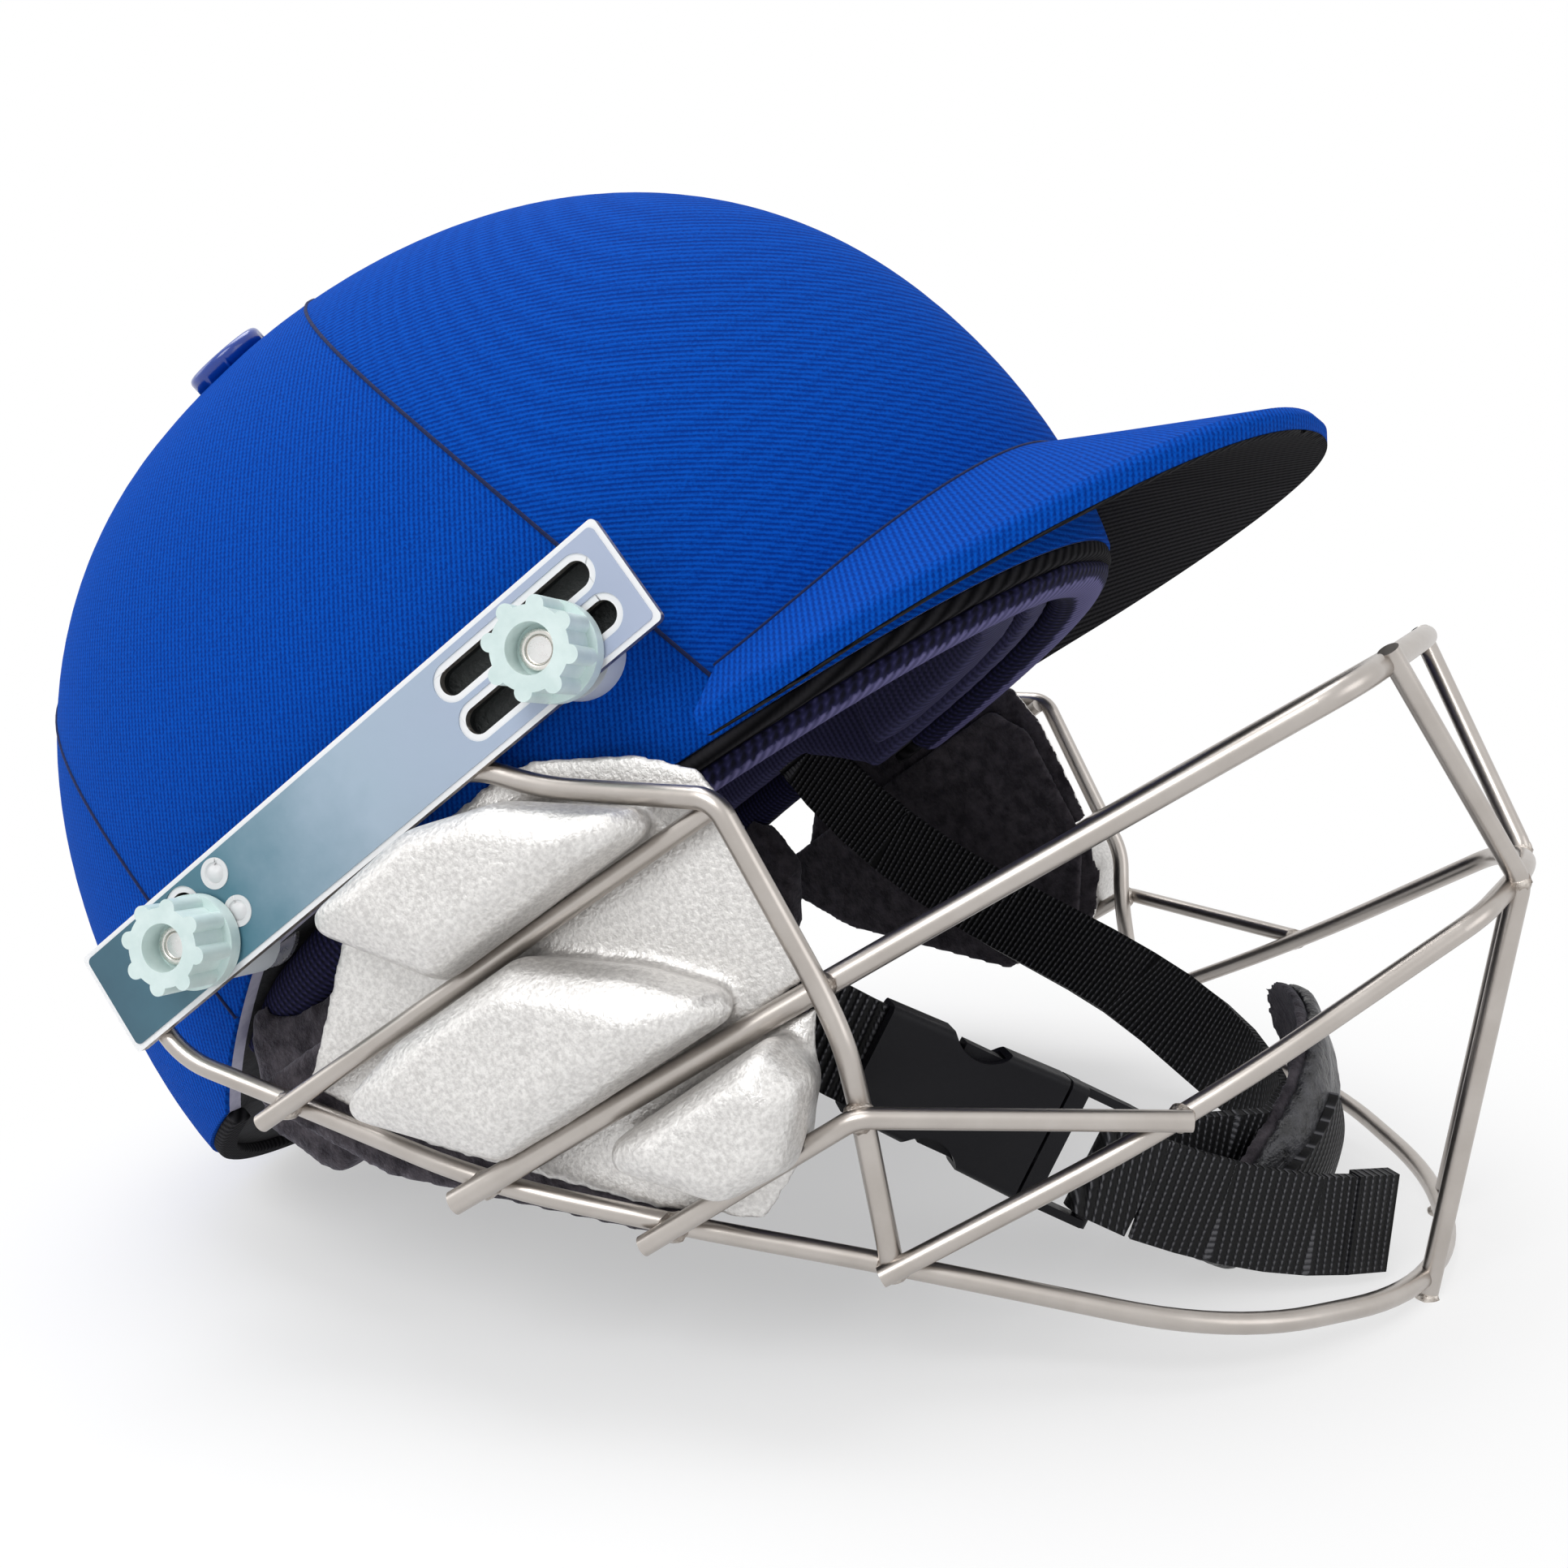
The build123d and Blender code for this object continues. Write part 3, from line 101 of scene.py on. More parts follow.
def add_node(tree, kind, inputs, **settings):
    """A node with its settings, and with a value or another node's socket for each input."""
    made = tree.nodes.new(kind)
    for key, value in settings.items():
        setattr(made, key, value)
    for key, value in inputs.items():
        if isinstance(value, bpy.types.NodeSocket):
            tree.links.new(value, made.inputs[key])
        else:
            made.inputs[key].default_value = value
    return made


sky = bpy.data.worlds.new("studio_sky")
scene.world = sky
sky.use_nodes = True
tree = sky.node_tree
tree.nodes.clear()
rays = add_node(tree, "ShaderNodeLightPath", {})
camera_rays, glossy_rays = rays.outputs["Is Camera Ray"], rays.outputs["Is Glossy Ray"]
seen = add_node(tree, "ShaderNodeMath", {0: camera_rays, 1: glossy_rays}, operation="MAXIMUM")
passing_rays = rays.outputs["Is Transmission Ray"]
seen = add_node(tree, "ShaderNodeMath", {0: seen.outputs[0], 1: passing_rays}, operation="MAXIMUM")
lit = add_node(tree, "ShaderNodeBackground", {"Color": (0.97, 0.98, 1, 1), "Strength": 0.4})
backdrop = add_node(tree, "ShaderNodeBackground", {"Color": (1, 1, 1, 1), "Strength": 1.0})
mixed = add_node(tree, "ShaderNodeMixShader", {0: seen.outputs[0], 1: lit.outputs[0], 2: backdrop.outputs[0]})
add_node(tree, "ShaderNodeOutputWorld", {"Surface": mixed.outputs[0]})

bpy.ops.object.select_all(action="DESELECT")
bpy.ops.mesh.primitive_plane_add(size=12, location=(0, 0, 0))
table = bpy.context.object
table.name = "studio_table"
table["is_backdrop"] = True


def finish(name, colour, rough, metallic=0.0):
    """A material with one plain colour, before its grain and pattern."""
    made = bpy.data.materials.new(name)
    made.use_nodes = True
    shader = made.node_tree.nodes["Principled BSDF"]
    shader.inputs["Base Color"].default_value = (*colour, 1)
    shader.inputs["Roughness"].default_value = rough
    shader.inputs["Metallic"].default_value = metallic
    return made


paper = finish("table_paper", (0.97, 0.97, 0.975), 0.95)
tree = paper.node_tree
shader = tree.nodes["Principled BSDF"]
shader.inputs["Specular IOR Level"].default_value = 0.1
spot = add_node(tree, "ShaderNodeTexCoord", {})
reach = add_node(tree, "ShaderNodeVectorMath", {0: spot.outputs["Object"]}, operation="LENGTH")
fade = add_node(
    tree,
    "ShaderNodeMapRange",
    {"Value": reach.outputs["Value"], "From Min": 0.08, "From Max": 0.25, "To Min": 0.45, "To Max": 1.0},
    interpolation_type="SMOOTHSTEP",
)
rays = add_node(tree, "ShaderNodeLightPath", {})
camera_rays, glossy_rays = rays.outputs["Is Camera Ray"], rays.outputs["Is Glossy Ray"]
seen = add_node(tree, "ShaderNodeMath", {0: camera_rays, 1: glossy_rays}, operation="MAXIMUM")
share = add_node(tree, "ShaderNodeMath", {0: seen.outputs[0], 1: fade.outputs[0]}, operation="MULTIPLY")
glow = add_node(tree, "ShaderNodeEmission", {"Color": (1, 1, 1, 1), "Strength": 1.0})
both = add_node(tree, "ShaderNodeMixShader", {0: share.outputs[0], 1: shader.outputs[0], 2: glow.outputs[0]})
tree.links.new(both.outputs[0], tree.nodes["Material Output"].inputs["Surface"])
table.data.materials.append(paper)

# The hard shell and the board in the peak: pale moulded plastic, seen only from inside and
# through the eyelets. Both stay as the CAD solids are.
grain_group = bpy.data.node_groups.new("surface_grain", "ShaderNodeTree")
grain_group.interface.new_socket("Vector", in_out="INPUT", socket_type="NodeSocketVector")
grain_group.interface.new_socket("Size", in_out="INPUT", socket_type="NodeSocketFloat")
grain_group.interface.new_socket("Contrast", in_out="INPUT", socket_type="NodeSocketFloat")
grain_group.interface.new_socket("Height", in_out="OUTPUT", socket_type="NodeSocketFloat")
inlet = grain_group.nodes.new("NodeGroupInput")
outlet = grain_group.nodes.new("NodeGroupOutput")
per_size = add_node(grain_group, "ShaderNodeMath", {0: 1.0, 1: inlet.outputs["Size"]}, operation="DIVIDE")
cloud = add_node(
    grain_group,
    "ShaderNodeTexNoise",
    {"Vector": inlet.outputs["Vector"], "Scale": per_size.outputs[0], "Detail": 4.0, "Roughness": 0.6},
)
centred = add_node(grain_group, "ShaderNodeMath", {0: cloud.outputs[0], 1: 0.5}, operation="SUBTRACT")
steep = add_node(
    grain_group,
    "ShaderNodeMath",
    {0: centred.outputs[0], 1: inlet.outputs["Contrast"], 2: 0.5},
    operation="MULTIPLY_ADD",
    use_clamp=True,
)
grain_group.links.new(steep.outputs[0], outlet.inputs["Height"])


def own_space(made, turn=(0, tilt, 0), source="Object"):
    """The piece's own coordinates, turned into the helmet frame or on from there."""
    tree = made.node_tree
    origin = add_node(tree, "ShaderNodeTexCoord", {})
    turned = add_node(tree, "ShaderNodeMapping", {"Vector": origin.outputs[source], "Rotation": turn})
    return turned.outputs["Vector"]


def grain(made, vector, size, contrast=1.0):
    placed = made.node_tree.nodes.new("ShaderNodeGroup")
    placed.node_tree = grain_group
    made.node_tree.links.new(vector, placed.inputs["Vector"])
    placed.inputs["Size"].default_value = size
    placed.inputs["Contrast"].default_value = contrast
    return placed.outputs["Height"]


def emboss(made, height, depth, strength=1.0):
    """Raises the surface by a height, on top of what has been raised before."""
    tree = made.node_tree
    normal = tree.nodes["Principled BSDF"].inputs["Normal"]
    inputs = {"Height": height, "Distance": depth, "Strength": strength}
    if normal.is_linked:
        inputs["Normal"] = normal.links[0].from_socket
    raised = add_node(tree, "ShaderNodeBump", inputs)
    tree.links.new(raised.outputs["Normal"], normal)


def tint(made, factor, stops):
    """Colours the surface through a ramp: stops are places and colours."""
    tree = made.node_tree
    ramp = add_node(tree, "ShaderNodeValToRGB", {"Fac": factor})
    while len(ramp.color_ramp.elements) < len(stops):
        ramp.color_ramp.elements.new(0.5)
    for element, (place, colour) in zip(ramp.color_ramp.elements, stops):
        element.position = place
        element.color = (*colour, 1)
    tree.links.new(ramp.outputs["Color"], tree.nodes["Principled BSDF"].inputs["Base Color"])


def wear(made, factor, low, high):
    """Roughness between two values by a factor."""
    tree = made.node_tree
    spread = add_node(tree, "ShaderNodeMapRange", {"Value": factor, "To Min": low, "To Max": high})
    tree.links.new(spread.outputs[0], tree.nodes["Principled BSDF"].inputs["Roughness"])


def dress(names, made):
    for name in names:
        nodes[name].data.materials.clear()
        nodes[name].data.materials.append(made)


shell_plastic = finish("shell_plastic", (0.42, 0.41, 0.52), 0.45)
space = own_space(shell_plastic)
mottle = grain(shell_plastic, space, 0.006, 1.6)
tint(shell_plastic, mottle, ((0.3, (0.34, 0.33, 0.45)), (0.7, (0.5, 0.49, 0.6))))
wear(shell_plastic, mottle, 0.38, 0.55)
emboss(shell_plastic, grain(shell_plastic, space, 0.0006), 0.00005, 0.5)
dress(("hard_shell", "peak_board", "eyelet_washers"), shell_plastic)

# Crown covers: three panels of ribbed royal blue knit, glued over the shell and sewn together
# along two curved seams, with the edges turned in. The ribs run upright on the middle and rear
# panels and fan out in arcs on the front one.
rib_group = bpy.data.node_groups.new("knit_ribs", "ShaderNodeTree")
rib_group.interface.new_socket("Across", in_out="INPUT", socket_type="NodeSocketFloat")
rib_group.interface.new_socket("Along", in_out="INPUT", socket_type="NodeSocketFloat")
rib_group.interface.new_socket("Pitch", in_out="INPUT", socket_type="NodeSocketFloat")
rib_group.interface.new_socket("Stitch", in_out="INPUT", socket_type="NodeSocketFloat")
rib_group.interface.new_socket("Height", in_out="OUTPUT", socket_type="NodeSocketFloat")
rib_group.interface.new_socket("Rib", in_out="OUTPUT", socket_type="NodeSocketFloat")
inlet = rib_group.nodes.new("NodeGroupInput")
outlet = rib_group.nodes.new("NodeGroupOutput")
turns = []
for lane, pitch_name in (("Across", "Pitch"), ("Along", "Stitch")):
    distance, pitch = inlet.outputs[lane], inlet.outputs[pitch_name]
    count = add_node(rib_group, "ShaderNodeMath", {0: distance, 1: pitch}, operation="DIVIDE")
    angle = add_node(rib_group, "ShaderNodeMath", {0: count.outputs[0], 1: 2 * pi}, operation="MULTIPLY")
    turns.append(angle)
across_wave = add_node(rib_group, "ShaderNodeMath", {0: turns[0].outputs[0]}, operation="SINE")
slanted = add_node(
    rib_group,
    "ShaderNodeMath",
    {0: across_wave.outputs[0], 1: 1.4, 2: turns[1].outputs[0]},
    operation="MULTIPLY_ADD",
)
along_wave = add_node(rib_group, "ShaderNodeMath", {0: slanted.outputs[0]}, operation="SINE")
rib_height = add_node(
    rib_group, "ShaderNodeMath", {0: across_wave.outputs[0], 1: 0.5, 2: 0.5}, operation="MULTIPLY_ADD"
)
loops = add_node(
    rib_group,
    "ShaderNodeMath",
    {0: along_wave.outputs[0], 1: 0.22, 2: rib_height.outputs[0]},
    operation="MULTIPLY_ADD",
)
rib_group.links.new(loops.outputs[0], outlet.inputs["Height"])
rib_group.links.new(rib_height.outputs[0], outlet.inputs["Rib"])


def ribs(made, across, along, pitch, stitch):
    placed = made.node_tree.nodes.new("ShaderNodeGroup")
    placed.node_tree = rib_group
    made.node_tree.links.new(across, placed.inputs["Across"])
    made.node_tree.links.new(along, placed.inputs["Along"])
    placed.inputs["Pitch"].default_value = pitch
    placed.inputs["Stitch"].default_value = stitch
    return placed


def axes(made, vector):
    return add_node(made.node_tree, "ShaderNodeSeparateXYZ", {"Vector": vector}).outputs


def radius_from(made, vector, centre, lanes):
    """The distance from an axis, for ribs that run in arcs round it."""
    tree = made.node_tree
    offset = add_node(tree, "ShaderNodeVectorMath", {0: vector, 1: centre}, operation="SUBTRACT")
    kept = add_node(tree, "ShaderNodeVectorMath", {0: offset.outputs[0], 1: lanes}, operation="MULTIPLY")
    return add_node(tree, "ShaderNodeVectorMath", {0: kept.outputs[0]}, operation="LENGTH").outputs["Value"]


def blue_knit(name, arcs):
    made = finish(name, (0.0005, 0.056, 0.37), 0.9)
    shader = made.node_tree.nodes["Principled BSDF"]
    shader.inputs["Specular IOR Level"].default_value = 0.06
    shader.inputs["Sheen Weight"].default_value = 0.05
    shader.inputs["Sheen Roughness"].default_value = 0.5
    shader.inputs["Sheen Tint"].default_value = (0.02, 0.3, 1, 1)
    space = own_space(made, (0, 0, radians(-27.5)))
    lanes = axes(made, space)
    if arcs:
        across = radius_from(made, own_space(made), (0.03, 0, -0.01), (1, 0, 1))
    else:
        across = lanes["X"]
    knit = ribs(made, across, lanes["Z"], 0.00105, 0.0009)
    fuzz = grain(made, space, 0.0006, 2.0)
    blend = add_node(
        made.node_tree,
        "ShaderNodeMath",
        {0: fuzz, 1: 1.2, 2: knit.outputs["Height"]},
        operation="MULTIPLY_ADD",
    )
    low, high = (0.0003, 0.032, 0.25), (0.0009, 0.078, 0.48)
    halved = add_node(made.node_tree, "ShaderNodeMath", {0: blend.outputs[0], 1: 2.2}, operation="DIVIDE")
    tint(made, halved.outputs[0], ((0.25, low), (0.75, high)))
    emboss(made, blend.outputs[0], 0.0001, 0.6)
    return made


def select_only(piece):
    bpy.ops.object.select_all(action="DESELECT")
    piece.select_set(True)
    bpy.context.view_layer.objects.active = piece


same_spot = 0.00001


def lift(node_name, name, made, body):
    """A closed copy of a CAD solid, which stands for it and rides with its body."""
    piece = bpy.data.objects.new(name, nodes[node_name].data.copy())
    scene.collection.objects.link(piece)
    select_only(piece)
    bpy.ops.object.mode_set(mode="EDIT")
    bpy.ops.mesh.select_all(action="SELECT")
    bpy.ops.mesh.remove_doubles(threshold=same_spot)
    bpy.ops.object.mode_set(mode="OBJECT")
    piece.data.materials.clear()
    piece.data.materials.append(made)
    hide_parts(node_name)
    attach(piece, body)
    return piece


def apply(piece, kind, **settings):
    select_only(piece)
    made = piece.modifiers.new(kind.lower(), kind)
    for key, value in settings.items():
        setattr(made, key, value)
    bpy.ops.object.modifier_apply(modifier=made.name)


def smooth_shading(piece, angle=40):
    select_only(piece)
    bpy.ops.object.shade_smooth_by_angle(angle=radians(angle))


seam_shade = finish("seam_shade", (0.0003, 0.008, 0.06), 0.95)
space = own_space(seam_shade)
emboss(seam_shade, grain(seam_shade, space, 0.0012, 2.0), 0.0003, 0.8)


def surface_of(node_name):
    """A CAD solid's surface, to measure distances from."""
    mesh = nodes[node_name].data
    corners = [vertex.co for vertex in mesh.vertices]
    return BVHTree.FromPolygons(corners, [tuple(face.vertices) for face in mesh.polygons])


def shade_seam(panel, beside):
    """Keeps the shaded faces of a sunk seam where a panel meets its neighbours, and no others."""
    seam_reach = 0.0016
    trees = [surface_of(name) for name in beside]
    for face in panel.data.polygons:
        if face.material_index == 1:
            near = [tree.find_nearest(face.center, seam_reach)[0] for tree in trees]
            if not any(near):
                face.material_index = 0


knit_upright = blue_knit("crown_knit_upright", False)
knit_arcs = blue_knit("crown_knit_arcs", True)
for part, made, beside in (
    ("front", knit_arcs, ("crown_cover_middle", "peak_cover_top")),
    ("middle", knit_upright, ("crown_cover_front", "crown_cover_rear")),
    ("rear", knit_upright, ("crown_cover_middle",)),
):
    panel = lift("crown_cover_" + part, "crown_panel_" + part, made, "helmet")
    panel.data.materials.append(seam_shade)
    apply(panel, "BEVEL", width=0.0007, segments=3, limit_method="ANGLE", angle_limit=radians(50), material=1)
    shade_seam(panel, beside)
    smooth_shading(panel, 45)


def seam_shade_lines(panel_node, beside, name):
    """A sewn seam: a thin dark tube of painted shade along the outer sharp edges where a panel meets its
    neighbours.
    """
    shade_line = bpy.data.objects.new(name, nodes[panel_node].data.copy())
    scene.collection.objects.link(shade_line)
    trees = [surface_of(neighbour) for neighbour in beside]
    select_only(shade_line)
    bpy.ops.object.mode_set(mode="EDIT")
    bpy.ops.mesh.select_all(action="SELECT")
    bpy.ops.mesh.remove_doubles(threshold=same_spot)
    bpy.ops.mesh.select_mode(type="EDGE")
    bpy.ops.mesh.select_all(action="DESELECT")
    bpy.ops.mesh.edges_select_sharp(sharpness=radians(35))
    bpy.ops.object.mode_set(mode="OBJECT")
    head_centre = at(-30, 0, 20)
    touch, lift_off, clear_of_centre, shade_line_radius = 0.0004, 0.0007, 0.06, 0.00042
    spots = [vertex.co.copy() for vertex in shade_line.data.vertices]
    shell_tree = surface_of("hard_shell")
    for edge in shade_line.data.edges:
        ends = [spots[number] for number in edge.vertices]
        touching = all(any(tree.find_nearest(end, touch)[0] for tree in trees) for end in ends)
        proud = all(shell_tree.find_nearest(end)[3] > lift_off for end in ends)
        outer = (ends[0] - head_centre).length > clear_of_centre
        edge.select = edge.select and touching and proud and outer
    bpy.ops.object.mode_set(mode="EDIT")
    bpy.ops.mesh.select_all(action="INVERT")
    bpy.ops.mesh.delete(type="EDGE")
    bpy.ops.object.mode_set(mode="OBJECT")
    if not shade_line.data.edges:
        raise ValueError("no seam found for " + name)
    bpy.ops.object.convert(target="CURVE")
    shade_line = bpy.context.object
    shade_line.data.bevel_depth = shade_line_radius
    shade_line.data.bevel_resolution = 2
    shade_line.data.use_fill_caps = True
    bpy.ops.object.convert(target="MESH")
    shade_line = bpy.context.object
    shade_line.name = name
    shade_line.data.materials.clear()
    shade_line.data.materials.append(seam_shade)
    bpy.ops.object.shade_smooth()
    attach(shade_line, "helmet")


# Thin dark lines of painted shade along the sunk seams of the crown and the peak.
seam_shade_lines("crown_cover_front", ("crown_cover_middle",), "front_seam_shade_line")
seam_shade_lines("crown_cover_rear", ("crown_cover_middle",), "rear_seam_shade_line")
seam_shade_lines("peak_cover_top", ("crown_cover_front",), "peak_seam_shade_line")

# Peak: a stiff board between an upper cover of the same knit, rolled over the lip, and a lower
# one of black twill. The two are sewn together just inside the lip.
knit_peak = blue_knit("peak_knit", False)
peak_top = lift("peak_cover_top", "peak_knit_cover", knit_peak, "helmet")
peak_top.data.materials.append(seam_shade)
apply(peak_top, "BEVEL", width=0.0007, segments=2, limit_method="ANGLE", angle_limit=radians(50), material=1)
shade_seam(peak_top, ("crown_cover_front",))
smooth_shading(peak_top, 50)

twill = finish("black_twill", (0.012, 0.012, 0.013), 0.9)
twill.node_tree.nodes["Principled BSDF"].inputs["Specular IOR Level"].default_value = 0.08
space = own_space(twill, (radians(40), radians(20), 0))
lanes = axes(twill, space)
weave = ribs(twill, lanes["Y"], lanes["X"], 0.0021, 0.0012)
tint(twill, weave.outputs["Rib"], ((0.0, (0.004, 0.004, 0.005)), (1.0, (0.028, 0.027, 0.03))))
emboss(twill, weave.outputs["Height"], 0.00025, 0.8)
peak_under = lift("peak_cover_under", "peak_twill_cover", twill, "helmet")
smooth_shading(peak_under, 50)
for part in ("front", "rear"):
    tape = lift("rim_binding_" + part, "rim_tape_" + part, twill, "helmet")
    apply(tape, "BEVEL", width=0.0008, segments=3, limit_method="ANGLE", angle_limit=radians(50))
    smooth_shading(tape, 50)

# Vent eyelets: glossy blue plastic mouldings, pressed through the crown from outside and held
# by pale washers inside.
eyelet_gloss = finish("eyelet_gloss", (0.001, 0.04, 0.3), 0.22)
eyelet_gloss.node_tree.nodes["Principled BSDF"].inputs["Coat Weight"].default_value = 0.4
space = own_space(eyelet_gloss)
wear(eyelet_gloss, grain(eyelet_gloss, space, 0.004, 1.5), 0.16, 0.3)
emboss(eyelet_gloss, grain(eyelet_gloss, space, 0.003), 0.00005, 0.4)
for side in ("right", "left"):
    eyelet = lift("vent_eyelet_" + side, "gloss_eyelet_" + side, eyelet_gloss, "helmet")
    smooth_shading(eyelet, 50)

# Liner: dark foam with a ribbed navy-lavender band and brow pad, a rolled navy brow edge piped
# in lavender, and brushed lavender-grey pads at the nape and crown.
foam = finish("liner_foam", (0.015, 0.015, 0.018), 0.95)
space = own_space(foam)
emboss(foam, grain(foam, space, 0.0016, 2.0), 0.0003, 0.7)
tint(foam, grain(foam, space, 0.02, 2.0), ((0.3, (0.008, 0.008, 0.01)), (0.7, (0.026, 0.026, 0.03))))
dress(("impact_liner",), foam)


def around(made, vector, centre_x, radius):
    """How far a point lies round the head, in metres at a radius."""
    tree = made.node_tree
    lanes = axes(made, vector)
    ahead = add_node(tree, "ShaderNodeMath", {0: lanes["X"], 1: centre_x}, operation="SUBTRACT")
    angle = add_node(tree, "ShaderNodeMath", {0: lanes["Y"], 1: ahead.outputs[0]}, operation="ARCTAN2")
    arc = add_node(tree, "ShaderNodeMath", {0: angle.outputs[0], 1: radius}, operation="MULTIPLY")
    return arc.outputs[0], lanes["Z"]


navy = finish("ribbed_navy", (0.02, 0.02, 0.07), 0.85)
space = own_space(navy)
turned, level = around(navy, space, -0.008, 0.08)
weave = ribs(navy, turned, level, 0.0012, 0.0013)
height = weave.outputs["Height"]
hem = add_node(navy.node_tree, "ShaderNodeAttribute", {}, attribute_name="hem")
piped = add_node(
    navy.node_tree, "ShaderNodeMath", {0: hem.outputs["Fac"], 1: 2.0, 2: height}, operation="MULTIPLY_ADD"
)
piped = add_node(navy.node_tree, "ShaderNodeMath", {0: piped.outputs[0], 1: 3.0}, operation="DIVIDE")
tint(
    navy,
    piped.outputs[0],
    (
        (0.0, (0.003, 0.003, 0.012)),
        (0.33, (0.016, 0.016, 0.06)),
        (0.66, (0.09, 0.085, 0.2)),
        (1.0, (0.16, 0.15, 0.32)),
    ),
)
emboss(navy, height, 0.0002, 0.8)
navy.node_tree.nodes["Principled BSDF"].inputs["Specular IOR Level"].default_value = 0.15

lavender = finish("ribbed_lavender", (0.16, 0.15, 0.36), 0.85)
space = own_space(lavender)
turned, level = around(lavender, space, -0.008, 0.08)
weave = ribs(lavender, turned, level, 0.0014, 0.0013)
tint(lavender, weave.outputs["Height"], ((0.0, (0.014, 0.014, 0.055)), (1.0, (0.055, 0.052, 0.15))))
emboss(lavender, weave.outputs["Height"], 0.0002, 0.8)

brushed = finish("brushed_lining", (0.2, 0.19, 0.3), 0.95)
space = own_space(brushed)
tint(brushed, grain(brushed, space, 0.004, 2.0), ((0.2, (0.13, 0.125, 0.22)), (0.8, (0.28, 0.27, 0.4))))
emboss(brushed, grain(brushed, space, 0.0009, 1.5), 0.0004, 0.7)


def cushion(node_name, name, made, body, voxel, rounds, factor=0.6):
    """A padded piece: the solid is remeshed evenly and its faces are drawn round."""
    piece = lift(node_name, name, made, body)
    apply(piece, "REMESH", mode="VOXEL", voxel_size=voxel)
    apply(piece, "SMOOTH", factor=factor, iterations=rounds)
    select_only(piece)
    bpy.ops.object.shade_smooth()
    return piece


brow_roll = cushion("forehead_roll", "brow_roll", navy, "helmet", 0.0013, 8)
hem_width = 0.0006
lowest = {}
heights = []
for vertex in brow_roll.data.vertices:
    spot = helmet.inverted() @ vertex.co
    turned = round(Vector((spot.x + 0.055, spot.y)).angle_signed(Vector((1, 0))) / 0.03)
    heights.append((turned, spot.z))
    lowest[turned] = min(lowest.get(turned, 1.0), spot.z)
hem_lane = brow_roll.data.attributes.new("hem", "FLOAT", "POINT")
for vertex, (turned, height) in zip(brow_roll.data.vertices, heights):
    hem_lane.data[vertex.index].value = 1.0 if height - lowest[turned] < hem_width else 0.0
cushion("comfort_band", "head_band", lavender, "helmet", 0.0016, 6)
cushion("forehead_pad", "brow_pad", lavender, "helmet", 0.0016, 16)
cushion("nape_pad", "nape_cushion", brushed, "helmet", 0.0016, 16)
cushion("crown_pad", "crown_cushion", brushed, "helmet", 0.0018, 16)
for side in ("right", "left"):
    cushion("side_roll_" + side, "notch_roll_" + side, navy, "helmet", 0.0012, 8)

# Ear pads, which hang inside the shell, and the linings of the face guard's side pads: foam
# covered in charcoal suede.
suede = finish("charcoal_suede", (0.04, 0.036, 0.04), 0.95)
suede.node_tree.nodes["Principled BSDF"].inputs["Specular IOR Level"].default_value = 0.1
suede_shader = suede.node_tree.nodes["Principled BSDF"]
suede_shader.inputs["Sheen Weight"].default_value = 0.25
suede_shader.inputs["Sheen Roughness"].default_value = 0.6
suede_shader.inputs["Sheen Tint"].default_value = (0.75, 0.75, 0.85, 1)
space = own_space(suede)
tint(suede, grain(suede, space, 0.004, 2.2), ((0.2, (0.02, 0.016, 0.02)), (0.8, (0.075, 0.065, 0.074))))
emboss(suede, grain(suede, space, 0.0014, 2.0), 0.0005, 0.7)
for side in ("right", "left"):
    cushion("ear_pad_" + side, "ear_cushion_" + side, suede, "helmet", 0.0012, 14)
    lining, name = "side_pad_lining_" + side, "guard_lining_" + side
    cushion(lining, name, suede, "face_guard", 0.0009, 4)

# Elastic: a black round cord of covered rubber that runs behind the head, held at both ends in
# the helmet.
cord_black = finish("black_elastic", (0.012, 0.012, 0.014), 0.8)
space = own_space(cord_black)
emboss(cord_black, grain(cord_black, space, 0.0008, 2.0), 0.0003, 0.8)
elastic = lift("rear_elastic", "nape_elastic", cord_black, "helmet")
smooth_shading(elastic, 50)

# Face guard: satin wires of three thicknesses, cut, bent and welded, with a bead of uneven,
# mottled metal at most of the places where they meet.
satin = finish("satin_wire", (0.5, 0.46, 0.43), 0.36, 1.0)
space = own_space(satin)
streaks = grain(satin, space, 0.012, 1.0)
tint(satin, streaks, ((0.2, (0.42, 0.385, 0.355)), (0.8, (0.52, 0.485, 0.455))))
wear(satin, grain(satin, space, 0.0012, 1.5), 0.28, 0.36)
wires = ["lower_hoop", "top_bar", "middle_bar"]
for side in ("right", "left"):
    for kind in ("side_upright_", "upper_cheek_bar_", "lower_cheek_bar_", "front_wire_"):
        wires.append(kind + side)
dress(wires, satin)
weld_metal = finish("weld_metal", (0.5, 0.44, 0.38), 0.36, 1.0)
space = own_space(weld_metal)
tint(weld_metal, grain(weld_metal, space, 0.002, 2.0), ((0.2, (0.26, 0.22, 0.19)), (0.8, (0.66, 0.61, 0.56))))
emboss(weld_metal, grain(weld_metal, space, 0.0008, 2.0), 0.0002, 0.8)
